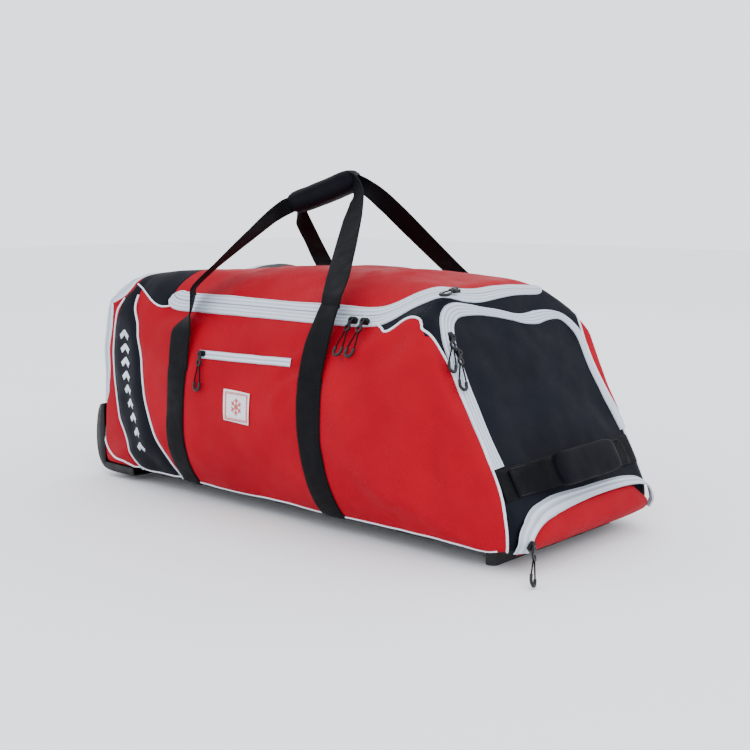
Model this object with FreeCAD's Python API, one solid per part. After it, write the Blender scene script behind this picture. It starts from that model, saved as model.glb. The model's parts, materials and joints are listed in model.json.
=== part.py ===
"""Wheeled equipment duffel bag.

Frame: millimetres, +Z up, floor at Z = 0, X from the wheel end (-X) to the sloped drop end (+X),
the long side with the small zip pocket is at -Y.
"""
import FreeCAD, Part
import math
import os

V = FreeCAD.Vector

# ---------------------------------------------------------------- driving dimensions
BASE_Z = 25.0            # underside of the fabric base
RIM_Z = 322.0            # zip line round the mouth, where side and lid meet
CROWN_Z = 385.0          # height that the lid's cross-section would crown to
RIDGE_Z = 381.0          # highest point of the ridge, seen from the side
SIDE_Z = 178.0           # height of the fullest bulge of the sides
BASE_HALF = 176.0        # half width at the base
BULGE_HALF = 228.0       # half width at the fullest bulge
RIM_HALF = 174.0         # half width at the rim
SKIN = 3.0               # padded fabric wall
SPLIT = 0.6              # air between the lid and the rest of the shell

DROP_X = 448.0           # sloped drop end: X at DROP_Z
DROP_Z = 70.0
DROP_RUN = 0.56          # X lost per mm of height on the drop end
WHEEL_END_X = -436.0     # fabric at the wheel end
END_X = 466.0            # the object's extreme X, both ways

WEB = 2.5                # webbing thickness
WEB_WIDE = 45.0          # carry strap width
ZIP_SKIN = 1.5           # zip tape thickness

PIVOT_Y = 188.0          # where a carry handle folds at the rim
PIVOT_Z = 346.0
FOLD_GAP = 2.2           # sewn strap ends this far below the fold line
FOLD_SHIFT = 2.8         # and this far inside it
SEWN_TOP_Z = 235.0       # sewn part of a carry strap ends here
GRIP_PITCH = math.radians(14.0)

WHEEL_R = 32.0
WHEEL_X = -418.0
WHEEL_Y = 115.0
TYRE_WIDE = 24.0
AXLE_R = 4.0
AXLE_HEAD_R = 6.5
RUN_FIT = 0.05           # radial clearance of a running fit
CUP_HALF = 21.0          # half width of a wheel housing
CUP_X1 = -378.0          # its inner end
CUP_TOP = 72.0           # its roof
CUP_WALL = 2.5           # its wall

LID_X0, LID_X1 = -228.0, 286.0          # lid's ends, seen from above
LID_LEFT_R, LID_RIGHT_R = 25.0, 80.0    # radii of its two front corners

N_DROP = V(1.0, 0, DROP_RUN).normalize()      # outward normal of the drop end
UP_DROP = V(-DROP_RUN, 0, 1.0).normalize()    # up the slope of the drop end
FAR = 600.0              # larger than the object


# ---------------------------------------------------------------- small helpers
def line(a, b):
    return Part.LineSegment(a, b).toShape()


def arc(a, mid, b):
    return Part.Arc(a, mid, b).toShape()


def face_of(edges):
    return Part.Face(Part.Wire(edges))


def polygon(points):
    return Part.Face(Part.makePolygon(list(points) + [points[0]]))


def prism_y(points, y0=-FAR, y1=FAR):
    """Straight-sided outline in XZ, extruded from y0 to y1."""
    return polygon([V(x, y0, z) for x, z in points]).extrude(V(0, y1 - y0, 0))


def block(x0, x1, y0, y1, z0, z1):
    return Part.makeBox(x1 - x0, y1 - y0, z1 - z0, V(x0, y0, z0))


def rod(centre, axis, radius, length):
    """Cylinder whose middle is at centre."""
    axis = V(axis).normalize()
    return Part.makeCylinder(radius, length, centre - axis * (length / 2), axis)


def slab(centre, x_dir, z_dir, size_x, size_y, size_z):
    """Box centred on a point, its local X and Z along the given directions."""
    box = Part.makeBox(size_x, size_y, size_z, V(-size_x / 2, -size_y / 2, -size_z / 2))
    x_dir = V(x_dir).normalize()
    z_dir = V(z_dir).normalize()
    y_dir = z_dir.cross(x_dir).normalize()
    place = FreeCAD.Matrix(x_dir.x, y_dir.x, z_dir.x, centre.x, x_dir.y, y_dir.y, z_dir.y, centre.y,
                           x_dir.z, y_dir.z, z_dir.z, centre.z, 0, 0, 0, 1)
    box.Placement = FreeCAD.Placement(place).multiply(box.Placement)
    return box


def largest(shape):
    """The biggest solid of a boolean result, without slivers."""
    return max(shape.Solids, key=lambda s: s.Volume)


def solids_over(shape, volume):
    return Part.makeCompound([s for s in shape.Solids if s.Volume > volume])


def save(name, shape):
    shape.exportStep(os.path.join("parts", name + ".step"))
    box = shape.BoundBox
    print("%-24s %2d solids valid %s vol %9.0f  x %7.1f %7.1f  y %7.1f %7.1f  z %6.1f %6.1f" % (
        name, len(shape.Solids), shape.isValid(), shape.Volume,
        box.XMin, box.XMax, box.YMin, box.YMax, box.ZMin, box.ZMax))


# ---------------------------------------------------------------- the bag's body
def drop_x(z, grow=0.0):
    """X of the drop end's sloped plane at height z."""
    return DROP_X + grow / N_DROP.x - DROP_RUN * (z - DROP_Z)


def cross_section(g):
    """YZ section: flat base, bulged sides, crowned top."""
    y0 = BASE_HALF + g
    y1 = RIM_HALF + g
    z0 = BASE_Z - g
    z1 = RIM_Z + 0.6 * g
    x = -FAR
    edges = [
        line(V(x, -y0, z0), V(x, y0, z0)),
        arc(V(x, y0, z0), V(x, BULGE_HALF + g, SIDE_Z), V(x, y1, z1)),
        arc(V(x, y1, z1), V(x, 0, CROWN_Z + g), V(x, -y1, z1)),
        arc(V(x, -y1, z1), V(x, -BULGE_HALF - g, SIDE_Z), V(x, -y0, z0)),
    ]
    return face_of(edges).extrude(V(2 * FAR, 0, 0))


def side_outline(g):
    """XZ outline: rounded wheel end, crowned ridge, sloped drop end."""
    y = -FAR
    foot = V(WHEEL_END_X + 2 - g, y, BASE_Z - g)
    knee = V(WHEEL_END_X - g, y, 127)
    shoulder = V(-412 - g, y, 234)
    crest = V(-316, y, 350 + g)
    ridge_end = V(262, y, 366 + g)
    edge_top = V(drop_x(354, g), y, 354)
    toe = V(drop_x(DROP_Z, g), y, DROP_Z)
    lip = V(452 + g, y, 45)
    sole = V(425, y, BASE_Z - g)
    edges = [
        line(foot, knee),
        line(knee, shoulder),
        arc(shoulder, V(-388 - 0.8 * g, y, 304 + 0.6 * g), crest),
        arc(crest, V(-20, y, RIDGE_Z + g), ridge_end),
        line(ridge_end, edge_top),
        line(edge_top, toe),
        line(toe, lip),
        arc(lip, V(445 + 0.7 * g, y, 31 - 0.7 * g), sole),
        line(sole, foot),
    ]
    return face_of(edges).extrude(V(0, 2 * FAR, 0))


def plan_outline(g):
    """XY outline: sides bowed out along their length."""
    end = 480.0
    y_end = 158 + g
    y_mid = 236 + g
    edges = [
        arc(V(-end, -y_end, 0), V(0, -y_mid, 0), V(end, -y_end, 0)),
        line(V(end, -y_end, 0), V(end, y_end, 0)),
        arc(V(end, y_end, 0), V(0, y_mid, 0), V(-end, y_end, 0)),
        line(V(-end, y_end, 0), V(-end, -y_end, 0)),
    ]
    return face_of(edges).extrude(V(0, 0, FAR))


def hull(g):
    """The bag's body, grown outwards by g."""
    return largest(cross_section(g).common(side_outline(g)).common(plan_outline(g)))


OUTER = hull(0)


def skin_on_body(thickness):
    """Layer lying on the outside of the body."""
    return hull(thickness).cut(OUTER)


# ---------------------------------------------------------------- where the panels meet
END_SEAM = [(-420, 0), (-420, 127), (-397, 234), (-374, 296), (-335, 334), (-335, 450)]
SEAM_A = [(-318, 0), (-318, 28), (-332, 66), (-348, 91), (-366, 119), (-378, 165), (-378, 220), (-371, 264),
          (-352, 300), (-345, 450)]
SEAM_B = [(-212, 0), (-212, 28), (-222, 66), (-234, 97), (-250, 130), (-262, 160), (-269, 192), (-280, 250),
          (-292, 279), (-312, 305), (-318, 322), (-318, 450)]


def left_of(seam):
    return prism_y([(-FAR, 0)] + seam + [(-FAR, 450)])


def drop_region(inset):
    foot = drop_x(DROP_Z) - inset
    return prism_y([(foot - 12, 0), (foot - 12, 40), (foot, DROP_Z), (drop_x(354) - inset, 354),
                    (drop_x(354) - inset, 450), (FAR, 450), (FAR, 0)])


def lid_plan(grow, z0, z1):
    """Plan outline of the lid: square at the hinge, rounded at its two front corners."""
    x0 = LID_X0 - grow
    x1 = LID_X1 + grow
    y0 = -RIM_HALF - grow - 6
    y1 = RIM_HALF + 20
    a = LID_LEFT_R + grow
    b = LID_RIGHT_R + grow
    k = math.sqrt(0.5)
    edges = [
        line(V(x0, y1, z0), V(x0, y0 + a, z0)),
        arc(V(x0, y0 + a, z0), V(x0 + a - a * k, y0 + a - a * k, z0), V(x0 + a, y0, z0)),
        line(V(x0 + a, y0, z0), V(x1 - b, y0, z0)),
        arc(V(x1 - b, y0, z0), V(x1 - b + b * k, y0 + b - b * k, z0), V(x1, y0 + b, z0)),
        line(V(x1, y0 + b, z0), V(x1, y1, z0)),
        line(V(x1, y1, z0), V(x0, y1, z0)),
    ]
    return face_of(edges).extrude(V(0, 0, z1 - z0))


def cup_space():
    """Space of the two wheel housings and axle heads, cut out of the fabric and the kick plate."""
    room = []
    for s in (-1, 1):
        y = s * WHEEL_Y
        room.append(block(-END_X, CUP_X1, y - CUP_HALF, y + CUP_HALF, 0, CUP_TOP))
        room.append(rod(V(WHEEL_X, y, WHEEL_R), V(0, 1, 0), AXLE_HEAD_R + 0.5, 2 * CUP_HALF + 7))
    return room[0].multiFuse(room[1:])


def make_shell():
    """Padded fabric walls, cut into the panels that are sewn together."""
    shell = OUTER.cut(hull(-SKIN)).cut(cup_space())
    lid = largest(shell.common(lid_plan(0, RIM_Z + SPLIT, 450)))
    shell = shell.cut(lid_plan(SPLIT, RIM_Z, 450))

    base = block(-FAR, FAR, -FAR, FAR, 0, BASE_Z + SKIN)
    save("base_panel", largest(shell.common(base)))
    shell = shell.cut(base)

    drop = drop_region(14)
    save("drop_end_panel", largest(shell.common(drop)))
    shell = shell.cut(drop)

    end = left_of(END_SEAM)
    save("wheel_end_panel", largest(shell.common(end)))
    shell = shell.cut(end)

    top = block(-FAR, FAR, -FAR, FAR, RIM_Z, 450)
    save("top_gussets", solids_over(shell.common(top), 2000))
    shell = shell.cut(top)

    corner = left_of(SEAM_A)
    save("corner_panels", solids_over(shell.common(corner), 500))
    shell = shell.cut(corner)

    band = left_of(SEAM_B)
    save("band_panels", solids_over(shell.common(band), 500))
    shell = shell.cut(band)

    sides = sorted([s for s in shell.Solids if s.Volume > 20000], key=lambda s: s.CenterOfMass.y)
    save("front_panel", sides[0])
    save("rear_panel", sides[-1])
    save("lid_panel", lid)


def make_base_board():
    board = block(-374, 420, -164, 164, BASE_Z + SKIN, BASE_Z + 2 * SKIN)
    save("base_board", board)


# ---------------------------------------------------------------- zips and sewn-on fabric
POCKET_ZIP_Z = 249.0
POCKET_X0, POCKET_X1 = -116.0, 88.0


def make_lid_zip():
    layer = skin_on_body(ZIP_SKIN)
    lower = lid_plan(16, RIM_Z - 18, 450).cut(lid_plan(SPLIT, RIM_Z - 19, 451))
    front_lip = block(LID_X0 + 10, LID_X1 - 80, -FAR, 0, RIM_Z - 18, RIM_Z)
    front = layer.common(front_lip)
    over = layer.common(lower.cut(block(-FAR, FAR, RIM_HALF - 20, FAR, 0, 450)))
    save("lid_zip_lower_tape", solids_over(front.fuse(over), 200))
    inner = lid_plan(-0.3, RIM_Z + SPLIT, 450).cut(lid_plan(-16, RIM_Z, 451))
    inner = inner.cut(block(-FAR, FAR, RIM_HALF - 20, FAR, 0, 450))
    lip = block(LID_X0 + 20, LID_X1 - 80, -FAR, -RIM_HALF + 24, RIM_Z + SPLIT, RIM_Z + 30)
    upper = layer.common(inner.fuse(lip.common(lid_plan(-0.3, RIM_Z, 450))))
    save("lid_zip_upper_tape", solids_over(upper, 200))


def make_pocket():
    zip_tape = skin_on_body(ZIP_SKIN).common(
        block(POCKET_X0, POCKET_X1, -FAR, 0, POCKET_ZIP_Z - 6, POCKET_ZIP_Z + 6))
    save("front_pocket_zip", largest(zip_tape))
    bag = block(POCKET_X0 + 6, POCKET_X1 - 6, -171, -169, 96, POCKET_ZIP_Z - 8)
    save("front_pocket_bag", bag)
    patch = skin_on_body(1.2).common(prism_y([(-50, 154), (6, 153), (9, 200), (-47, 202)], -FAR, 0))
    save("emblem_patch", largest(patch))


def slope_ring(outline, inset, grow_top=0.0):
    """Two nested outlines in the drop end's plane; returns the band between them."""
    def prism(points):
        corner = V(DROP_X, 0, DROP_Z)
        base = [corner + UP_DROP * s + V(0, y, 0) - N_DROP * 40 for y, s in points]
        return polygon(base).extrude(N_DROP * 90)

    cy = sum(p[0] for p in outline) / len(outline)
    inner = []
    for y, s in outline:
        step = inset if s > 80 else 0.0
        inner.append((y + (inset if y < cy else -inset), s - step))
    return prism(outline).cut(prism(inner))


def make_end_pocket_zip():
    top = (350 - DROP_Z) / UP_DROP.z
    foot = (140 - DROP_Z) / UP_DROP.z
    outline = [(-150, foot), (-156, top - 60), (-148, top - 26), (-128, top - 8), (128, top - 8),
               (148, top - 26), (156, top - 60), (166, foot)]
    ring = slope_ring(outline, 17)
    layer = skin_on_body(ZIP_SKIN).common(block(270, FAR, -170, 170, 139, 352)).common(drop_region(1.0))
    save("end_pocket_zip", solids_over(layer.common(ring).cut(lid_plan(16.3, RIM_Z - 19, 450)), 500))


POCKET_LOW = [(430, 25.5), (456, 25.5), (463, 34), (463, 48), (449, 78), (436, 86), (430, 86)]


def make_bottom_pocket():
    """Red pocket bulging out below the tow handle."""
    wide = 166.0
    panel = prism_y(POCKET_LOW, -wide, wide).cut(OUTER)
    panel = largest(panel)
    save("bottom_pocket_panel", panel)
    thick = prism_y([(430, 26), (458, 26), (464.5, 34), (464.5, 48.5), (450.5, 79.5), (436, 88), (430, 88)],
                    -wide - 1, wide + 1).cut(OUTER).cut(prism_y(POCKET_LOW, -wide - 1, wide + 1))
    outer = [(-165, 28), (-165, 46), (-124, 79), (165, 79), (165, 28)]
    inner = [(-153, 27), (-153, 40), (-118, 68), (154, 68), (154, 27)]
    ring = polygon([V(400, y, z) for y, z in outer]).extrude(V(100, 0, 0))
    hole = polygon([V(390, y, z) for y, z in inner]).extrude(V(120, 0, 0))
    zip_band = thick.common(ring.cut(hole))
    save("bottom_pocket_zip", solids_over(zip_band, 200))


def make_wheel_end_zip():
    """Zip round the wheel end's panel, along both upright edges and over the top."""
    shift = 15.0
    path = END_SEAM[1:]
    region = prism_y([(x - shift, z) for x, z in path] + [(x, z) for x, z in reversed(path)])
    layer = skin_on_body(ZIP_SKIN).common(region)
    save("wheel_end_zip", solids_over(layer, 500))


# ---------------------------------------------------------------- carry straps and handles
FRONT_FEET = ((-186.0, -163.0), (140.0, 135.0))     # X at the base, X at the end of the stitching
REAR_FEET = ((-205.0, -215.0), (98.0, 95.0))
FRONT_PIVOT_X = (-160.0, 140.0)
REAR_PIVOT_X = (-220.0, 92.0)
FREE_RUN = ((0.36, 8.5), (0.62, 9.0), (0.84, 4.0))  # height share of the free webbing, bow off its chord


def sewn_strap(side, foot_x, sewn_x, pivot_x):
    """Webbing sewn up the side, then free from the stitching to the rim's fold line."""
    half = WEB_WIDE / 2
    strip = prism_y([(foot_x - half, 0), (foot_x + half, 0), (sewn_x + half, SEWN_TOP_Z),
                     (sewn_x - half, SEWN_TOP_Z)], min(0, side * FAR), max(0, side * FAR))
    strip = strip.common(block(-FAR, FAR, -FAR, FAR, BASE_Z + 1, SEWN_TOP_Z))
    sewn = largest(skin_on_body(WEB).common(strip))
    y_low = side * (max(abs(v.Y) for v in sewn.Vertexes if v.Z > SEWN_TOP_Z - 1) - WEB)
    y_top = side * (PIVOT_Y - WEB / 2 - FOLD_SHIFT)
    z_top = PIVOT_Z - FOLD_GAP
    stations = [(0.0, 0.0)] + list(FREE_RUN) + [(1.0, 0.0)]
    frames = []
    for share, bow in stations:
        x = sewn_x + (pivot_x - sewn_x) * share
        y = y_low + (y_top - y_low) * share + side * bow
        z = SEWN_TOP_Z + (z_top - SEWN_TOP_Z) * share
        ring_points = [V(x - half, y, z), V(x + half, y, z), V(x + half, y + side * WEB, z),
                       V(x - half, y + side * WEB, z)]
        frames.append(Part.makePolygon(ring_points + [ring_points[0]]))
    free = Part.makeLoft(frames, True, True)
    return Part.makeCompound([sewn, free])


def make_sewn_straps():
    for name, side, feet, pivots in (("front_sewn_straps", -1, FRONT_FEET, FRONT_PIVOT_X),
                                     ("rear_sewn_straps", 1, REAR_FEET, REAR_PIVOT_X)):
        straps = []
        for (foot_x, sewn_x), pivot_x in zip(feet, pivots):
            straps += sewn_strap(side, foot_x, sewn_x, pivot_x).Solids
        save(name, Part.makeCompound(straps))


GRIP_MID = V(-52.0, 0, 492.0)       # middle of the grip
GRIP_LONG = 140.0
GRIP_R = 25.0
GRIP_DIR = V(math.cos(GRIP_PITCH), 0, math.sin(GRIP_PITCH))
GRIP_UP = V(-math.sin(GRIP_PITCH), 0, math.cos(GRIP_PITCH))
GRIP_WEB_Y = 7.0                    # each handle's webbing inside the grip is this far off the middle
GRIP_WEB_WIDE = 28.0                # webbing is folded narrower inside the grip


def ribbon(a, b, width_dir, width, thick):
    """Flat strip between two points, its width along width_dir made square to the run."""
    run = (b - a)
    along = V(run).normalize()
    flat = (width_dir - along * width_dir.dot(along)).normalize()
    normal = along.cross(flat).normalize()
    return slab((a + b) / 2, flat, normal, width, run.Length, thick)


def twisted_leg(foot, end, side):
    """Webbing from the rim's fold line, a quarter turn along its run, up to the grip's end."""
    half = WEB_WIDE / 2
    across = V(half, 0, 0)
    run = end - foot
    face = V(0, side * run.z, -side * run.y).normalize() * (WEB / 2)
    upright = GRIP_UP * (GRIP_WEB_WIDE / 2)
    ahead = GRIP_DIR * (-WEB / 2)
    rings = []
    for middle, w, n in ((foot, across, face), (end, upright, ahead)):
        corners = [middle - w - n, middle + w - n, middle + w + n, middle - w + n]
        rings.append(Part.makePolygon(corners + [corners[0]]))
    return Part.makeLoft(rings, True, True)


def make_handle(name, side, pivots, reach):
    """One webbing loop: two legs up from the rim's fold lines and a middle along the grip."""
    y_grip = side * GRIP_WEB_Y
    left_end = GRIP_MID - GRIP_DIR * (GRIP_LONG / 2 + reach) + V(0, y_grip, 0)
    right_end = GRIP_MID + GRIP_DIR * (GRIP_LONG / 2 + reach) + V(0, y_grip, 0)
    length = GRIP_LONG + 2 * reach + WEB
    middle = slab((left_end + right_end) / 2, GRIP_DIR, V(0, 1, 0), length, GRIP_WEB_WIDE, WEB)
    parts = [middle]
    for pivot_x, end in zip(pivots, (left_end, right_end)):
        foot = V(pivot_x, side * PIVOT_Y, PIVOT_Z + 0.4)
        parts.append(twisted_leg(foot, end, side))
    loop = parts[0].fuse(parts[1]).fuse(parts[2])
    save(name, largest(loop.removeSplitter()))


def make_grip():
    """Padded wrap round the front handle's webbing, open at the back for the rear handle's."""
    tube = rod(GRIP_MID, GRIP_DIR, GRIP_R, GRIP_LONG)
    slot_high = 34.0
    slot_front = GRIP_WEB_Y - WEB
    slot = slab(GRIP_MID + V(0, slot_front + 30, 0), GRIP_DIR, V(0, 1, 0), GRIP_LONG + 4, slot_high, 60)
    tube = tube.cut(slot)
    web = slab(GRIP_MID + V(0, -GRIP_WEB_Y, 0), GRIP_DIR, V(0, 1, 0), GRIP_LONG + 4, 30, WEB)
    save("grip_pad", largest(tube.cut(web)))


# ---------------------------------------------------------------- tow handle on the drop end
TOW_Z0, TOW_Z1 = 93.0, 138.0
TOW_PAD_Y = 74.0
TOW_FOOT_Y = 112.0
TOW_STAND = 27.0
TOW_PAD_THICK = 19.0


def drop_point(z, y, stand):
    return V(drop_x(z), y, z) + N_DROP * stand


def make_tow_handle():
    band = skin_on_body(WEB).common(block(400, FAR, -170, 170, TOW_Z0, TOW_Z1)).common(drop_region(1.0))
    band = largest(band)
    mid_z = 112.0
    wide = 38.0
    half = WEB / 2
    stations = [(-TOW_FOOT_Y, WEB + half), (-TOW_PAD_Y, TOW_STAND), (TOW_PAD_Y, TOW_STAND),
                (TOW_FOOT_Y, WEB + half)]
    arch = None
    for (ya, sa), (yb, sb) in zip(stations[:-1], stations[1:]):
        piece = ribbon(drop_point(mid_z, ya, sa), drop_point(mid_z, yb, sb), UP_DROP, wide, WEB)
        arch = piece if arch is None else arch.fuse(piece)
    for side in (-1, 1):
        foot = slab(drop_point(mid_z, side * (TOW_FOOT_Y + 16), WEB + half), UP_DROP, N_DROP, wide, 34, WEB)
        arch = arch.fuse(foot)
    webbing = arch.cut(OUTER).cut(band).fuse(band)
    save("tow_webbing", largest(webbing.removeSplitter()))
    pad = slab(drop_point(mid_z, 0, TOW_STAND), UP_DROP, N_DROP, 42, 2 * TOW_PAD_Y, TOW_PAD_THICK)
    pad = pad.makeFillet(4.0, pad.Edges)
    save("tow_handle_pad", largest(pad.cut(webbing)))


# ---------------------------------------------------------------- wheel end hardware
def make_kick_plate():
    """Moulded corner guard round the foot of the wheel end."""
    def outline(t):
        y = -BASE_HALF
        edges = [
            line(V(-END_X + t, y, 120), V(-END_X + t, y, 78)),
            arc(V(-END_X + t, y, 78), V(-453 + t * 0.8, y, 35 + t * 0.6), V(-414, y, 13 + t)),
        ]
        return edges
    y = -BASE_HALF
    outer = outline(0)
    inner = outline(4)
    tail = V(-340, y, BASE_Z)
    profile = outer + [line(V(-414, y, 13), tail), line(tail, V(-372, y, BASE_Z)),
                       line(V(-372, y, BASE_Z), V(-414, y, 17))] + inner + [
        line(V(-END_X + 4, y, 120), V(-END_X, y, 120))]
    wire = Part.Wire(Part.__sortEdges__(profile))
    plate = Part.Face(wire).extrude(V(0, 2 * BASE_HALF, 0))
    cheek_edges = outline(0) + [line(V(-414, y, 13), V(-414, y, 40)), line(V(-414, y, 40), V(-437, y, 60)),
                                line(V(-437, y, 60), V(-437, y, 120)), line(V(-437, y, 120), V(-END_X, y, 120))]
    cheek = Part.Face(Part.Wire(Part.__sortEdges__(cheek_edges)))
    for y0 in (0, 2 * BASE_HALF - 3.5):
        side = cheek.copy()
        side.translate(V(0, y0, 0))
        plate = plate.fuse(side.extrude(V(0, 3.5, 0)))
    plate = plate.cut(OUTER).cut(cup_space())
    screws = screw_bodies()
    for screw in screws:
        plate = plate.cut(screw)
    save("kick_plate", largest(plate.removeSplitter()))
    save("kick_plate_screws", Part.makeCompound([largest(s) for s in screws]))


def make_housings():
    """Two cups over the wheels, open at the foot and to the front."""
    cups = []
    for s in (-1, 1):
        y0 = s * WHEEL_Y - CUP_HALF
        y1 = s * WHEEL_Y + CUP_HALF
        cup = block(-452, CUP_X1, y0, y1, 14, CUP_TOP)
        cup = cup.cut(block(-460, CUP_X1 - CUP_WALL, y0 + CUP_WALL, y1 - CUP_WALL, 0, CUP_TOP - CUP_WALL))
        cup = cup.cut(rod(V(WHEEL_X, s * WHEEL_Y, WHEEL_R), V(0, 1, 0), AXLE_R, 80))
        cups.append(largest(cup))
    save("wheel_housings", Part.makeCompound(cups))


def ring(x, y, z, outer_r, inner_r, wide):
    """Ring about an axis along Y."""
    body = rod(V(x, y, z), V(0, 1, 0), outer_r, wide)
    return body.cut(rod(V(x, y, z), V(0, 1, 0), inner_r, wide + 2))


BEARING_R = 11.0
HUB_R = 21.0


def make_wheels():
    axles = []
    bearings = []
    for name, s in (("left", -1), ("right", 1)):
        y = s * WHEEL_Y
        tyre = ring(WHEEL_X, y, WHEEL_R, WHEEL_R, HUB_R, TYRE_WIDE)
        rims = [e for e in tyre.Edges if abs(e.BoundBox.XLength - 2 * WHEEL_R) < 0.1]
        save(name + "_tyre", tyre.makeFillet(5.0, [e for e in rims if e.Length > 100]))
        hub = ring(WHEEL_X, y, WHEEL_R, HUB_R, BEARING_R + RUN_FIT, TYRE_WIDE - 2)
        save(name + "_hub", hub)
        for t in (-1, 1):
            bearings.append(ring(WHEEL_X, y + t * 7.5, WHEEL_R, BEARING_R, AXLE_R, 7))
        pin = rod(V(WHEEL_X, y, WHEEL_R), V(0, 1, 0), AXLE_R, 2 * CUP_HALF)
        for t in (-1, 1):
            head = rod(V(WHEEL_X, y + t * (CUP_HALF + 1.5), WHEEL_R), V(0, 1, 0), AXLE_HEAD_R, 3)
            pin = pin.fuse(head)
        axles.append(largest(pin.removeSplitter()))
    save("wheel_axles", Part.makeCompound(axles))
    save("wheel_bearings", Part.makeCompound(bearings))


def screw_bodies():
    """Flush-headed screws through the kick plate, into the frame behind it."""
    screws = []
    for y in (-150.0, -60.0, 0.0, 60.0, 150.0):
        head = Part.makeCylinder(4.5, 2.0, V(-END_X, y, 104), V(1, 0, 0))
        shank = Part.makeCylinder(2.0, 12.0, V(-END_X, y, 104), V(1, 0, 0))
        screws.append(head.fuse(shank).removeSplitter())
    return screws


def make_foot_bar():
    """Rubber-faced bar under the drop end, level with the wheels."""
    half = 150.0
    wide = 18.0
    bar = block(394 - wide / 2, 394 + wide / 2, -half, half, 0, BASE_Z)
    upright = [e for e in bar.Edges if abs(e.BoundBox.ZLength - BASE_Z) < 0.1]
    bar = bar.makeFillet(wide / 2 - 0.5, upright)
    save("foot_bar", bar)


# ---------------------------------------------------------------- zip sliders and their pulls
CORD_R = 1.1
TAB_LONG = 22.0
SLIDER_HIGH = 5.0
CLASP_REACH = 31.0        # from the start of the cord to the middle of the clasp
CLASP_TIPS = 5.0          # the clasp's open side, nearer the tab than its middle
CLASP_BEND = 6.3          # half width of the cord's loop inside the clasp
CORD_LEG = ((-2.0, 0.0), (-3.8, 9.0), (-5.6, 19.0), (-CLASP_BEND, 26.0))


def rounded_route(points):
    """Straight runs joined by tangent arcs, each as large as its two runs allow."""
    edges = []
    radii = []
    start = points[0]
    for before, corner, after in zip(points[:-2], points[1:-1], points[2:]):
        u = (before - corner)
        w = (after - corner)
        run = min(u.Length, w.Length)
        u.normalize()
        w.normalize()
        turn = math.pi - math.acos(max(-1, min(1, u.dot(w))))
        tangent = 0.45 * run
        radius = tangent / math.tan(turn / 2)
        radii.append(radius)
        first = corner + u * tangent
        last = corner + w * tangent
        inward = (u + w).normalize()
        centre = corner + inward * math.hypot(radius, tangent)
        edges.append(line(start, first))
        edges.append(arc(first, centre - inward * radius, last))
        start = last
    edges.append(line(start, points[-1]))
    return Part.Wire(edges), radii


def cord_route():
    """Corners of the cord loop: down one leg, round inside the clasp and up the other leg."""
    bend = []
    for step in range(7):
        turn = math.pi * step / 6
        bend.append((-CLASP_BEND * math.cos(turn), CLASP_REACH + CLASP_BEND * math.sin(turn)))
    far_leg = [(-a, b) for a, b in reversed(CORD_LEG)]
    return list(CORD_LEG) + bend + far_leg


def local(origin, w, d, n, a, b, c):
    """Point at a along the width, b along the hanging direction and c outwards."""
    return origin + w * a + d * b + n * c


def make_slider(name, seat, along, normal, hang):
    """Slider on its zip, its tab, cord loop and clasp, hanging along a direction."""
    along = V(along).normalize()
    normal = V(normal).normalize()
    cross = normal.cross(along).normalize()
    mid = seat + normal * (SLIDER_HIGH / 2 + 0.4)
    body = slab(mid, along, normal, 14, 9, SLIDER_HIGH)
    uprights = [e for e in body.Edges if e.Length < SLIDER_HIGH + 0.1 and e.Length > SLIDER_HIGH - 0.1]
    body = body.makeFillet(2.5, uprights)
    hinge = seat + normal * (SLIDER_HIGH + 0.4 + 2.2)
    d = V(hang).normalize()
    w = d.cross(normal).normalize()
    n = w.cross(d).normalize()
    bail = rod(hinge, w, 1.4, 5.0)
    post = slab(hinge - normal * 1.6, w, normal, 2.4, 2.4, 3.0)
    body = body.fuse(bail).fuse(post)
    save("slider_" + name, largest(body.removeSplitter()))

    tab = slab(local(hinge, w, d, n, 0, TAB_LONG / 2 - 1, 0), w, n, 8, TAB_LONG, 2.6)
    tab = tab.cut(rod(hinge, w, 1.4 + 0.35, 20)).cut(slab(hinge - d * 2, w, n, 6.2, 10, 4))
    cord_start = TAB_LONG - 1.0
    route = [local(hinge, w, d, n, a, cord_start + b, 0) for a, b in cord_route()]
    path, radii = rounded_route(route)
    circle = Part.Wire(Part.makeCircle(CORD_R, route[0], (route[1] - route[0])))
    tube = path.makePipeShell([circle], True, True)
    if tube.Volume < 0:
        tube = tube.reversed()
    expected = math.pi * CORD_R ** 2 * path.Length
    print("cord_%s length %.1f volume %.1f expected %.1f radii %s" % (
        name, path.Length, tube.Volume, expected, [round(r, 1) for r in radii]))

    clasp_mid = local(hinge, w, d, n, 0, cord_start + CLASP_REACH, 0)
    clasp = rod(clasp_mid, n, 8.2, 3.8).cut(rod(clasp_mid, n, 4.1, 6))
    mouth = slab(clasp_mid - d * (CLASP_TIPS + 10), w, n, 20.0, 20, 6)
    clasp = largest(clasp.cut(mouth).cut(tube))
    save("cord_" + name, tube)
    tab = largest(tab.cut(tube))
    save("pull_" + name, Part.makeCompound([tab, clasp]))
    return hinge, w


def body_seat(point, direction):
    """Where a line from a point meets the body's skin, with the zip tape's thickness added."""
    direction = V(direction).normalize()
    probe = line(point, point + direction * FAR)
    hit = probe.common(OUTER)
    near = min(hit.Vertexes, key=lambda v: v.Point.distanceToPoint(point)).Point
    return near - direction * ZIP_SKIN


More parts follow.
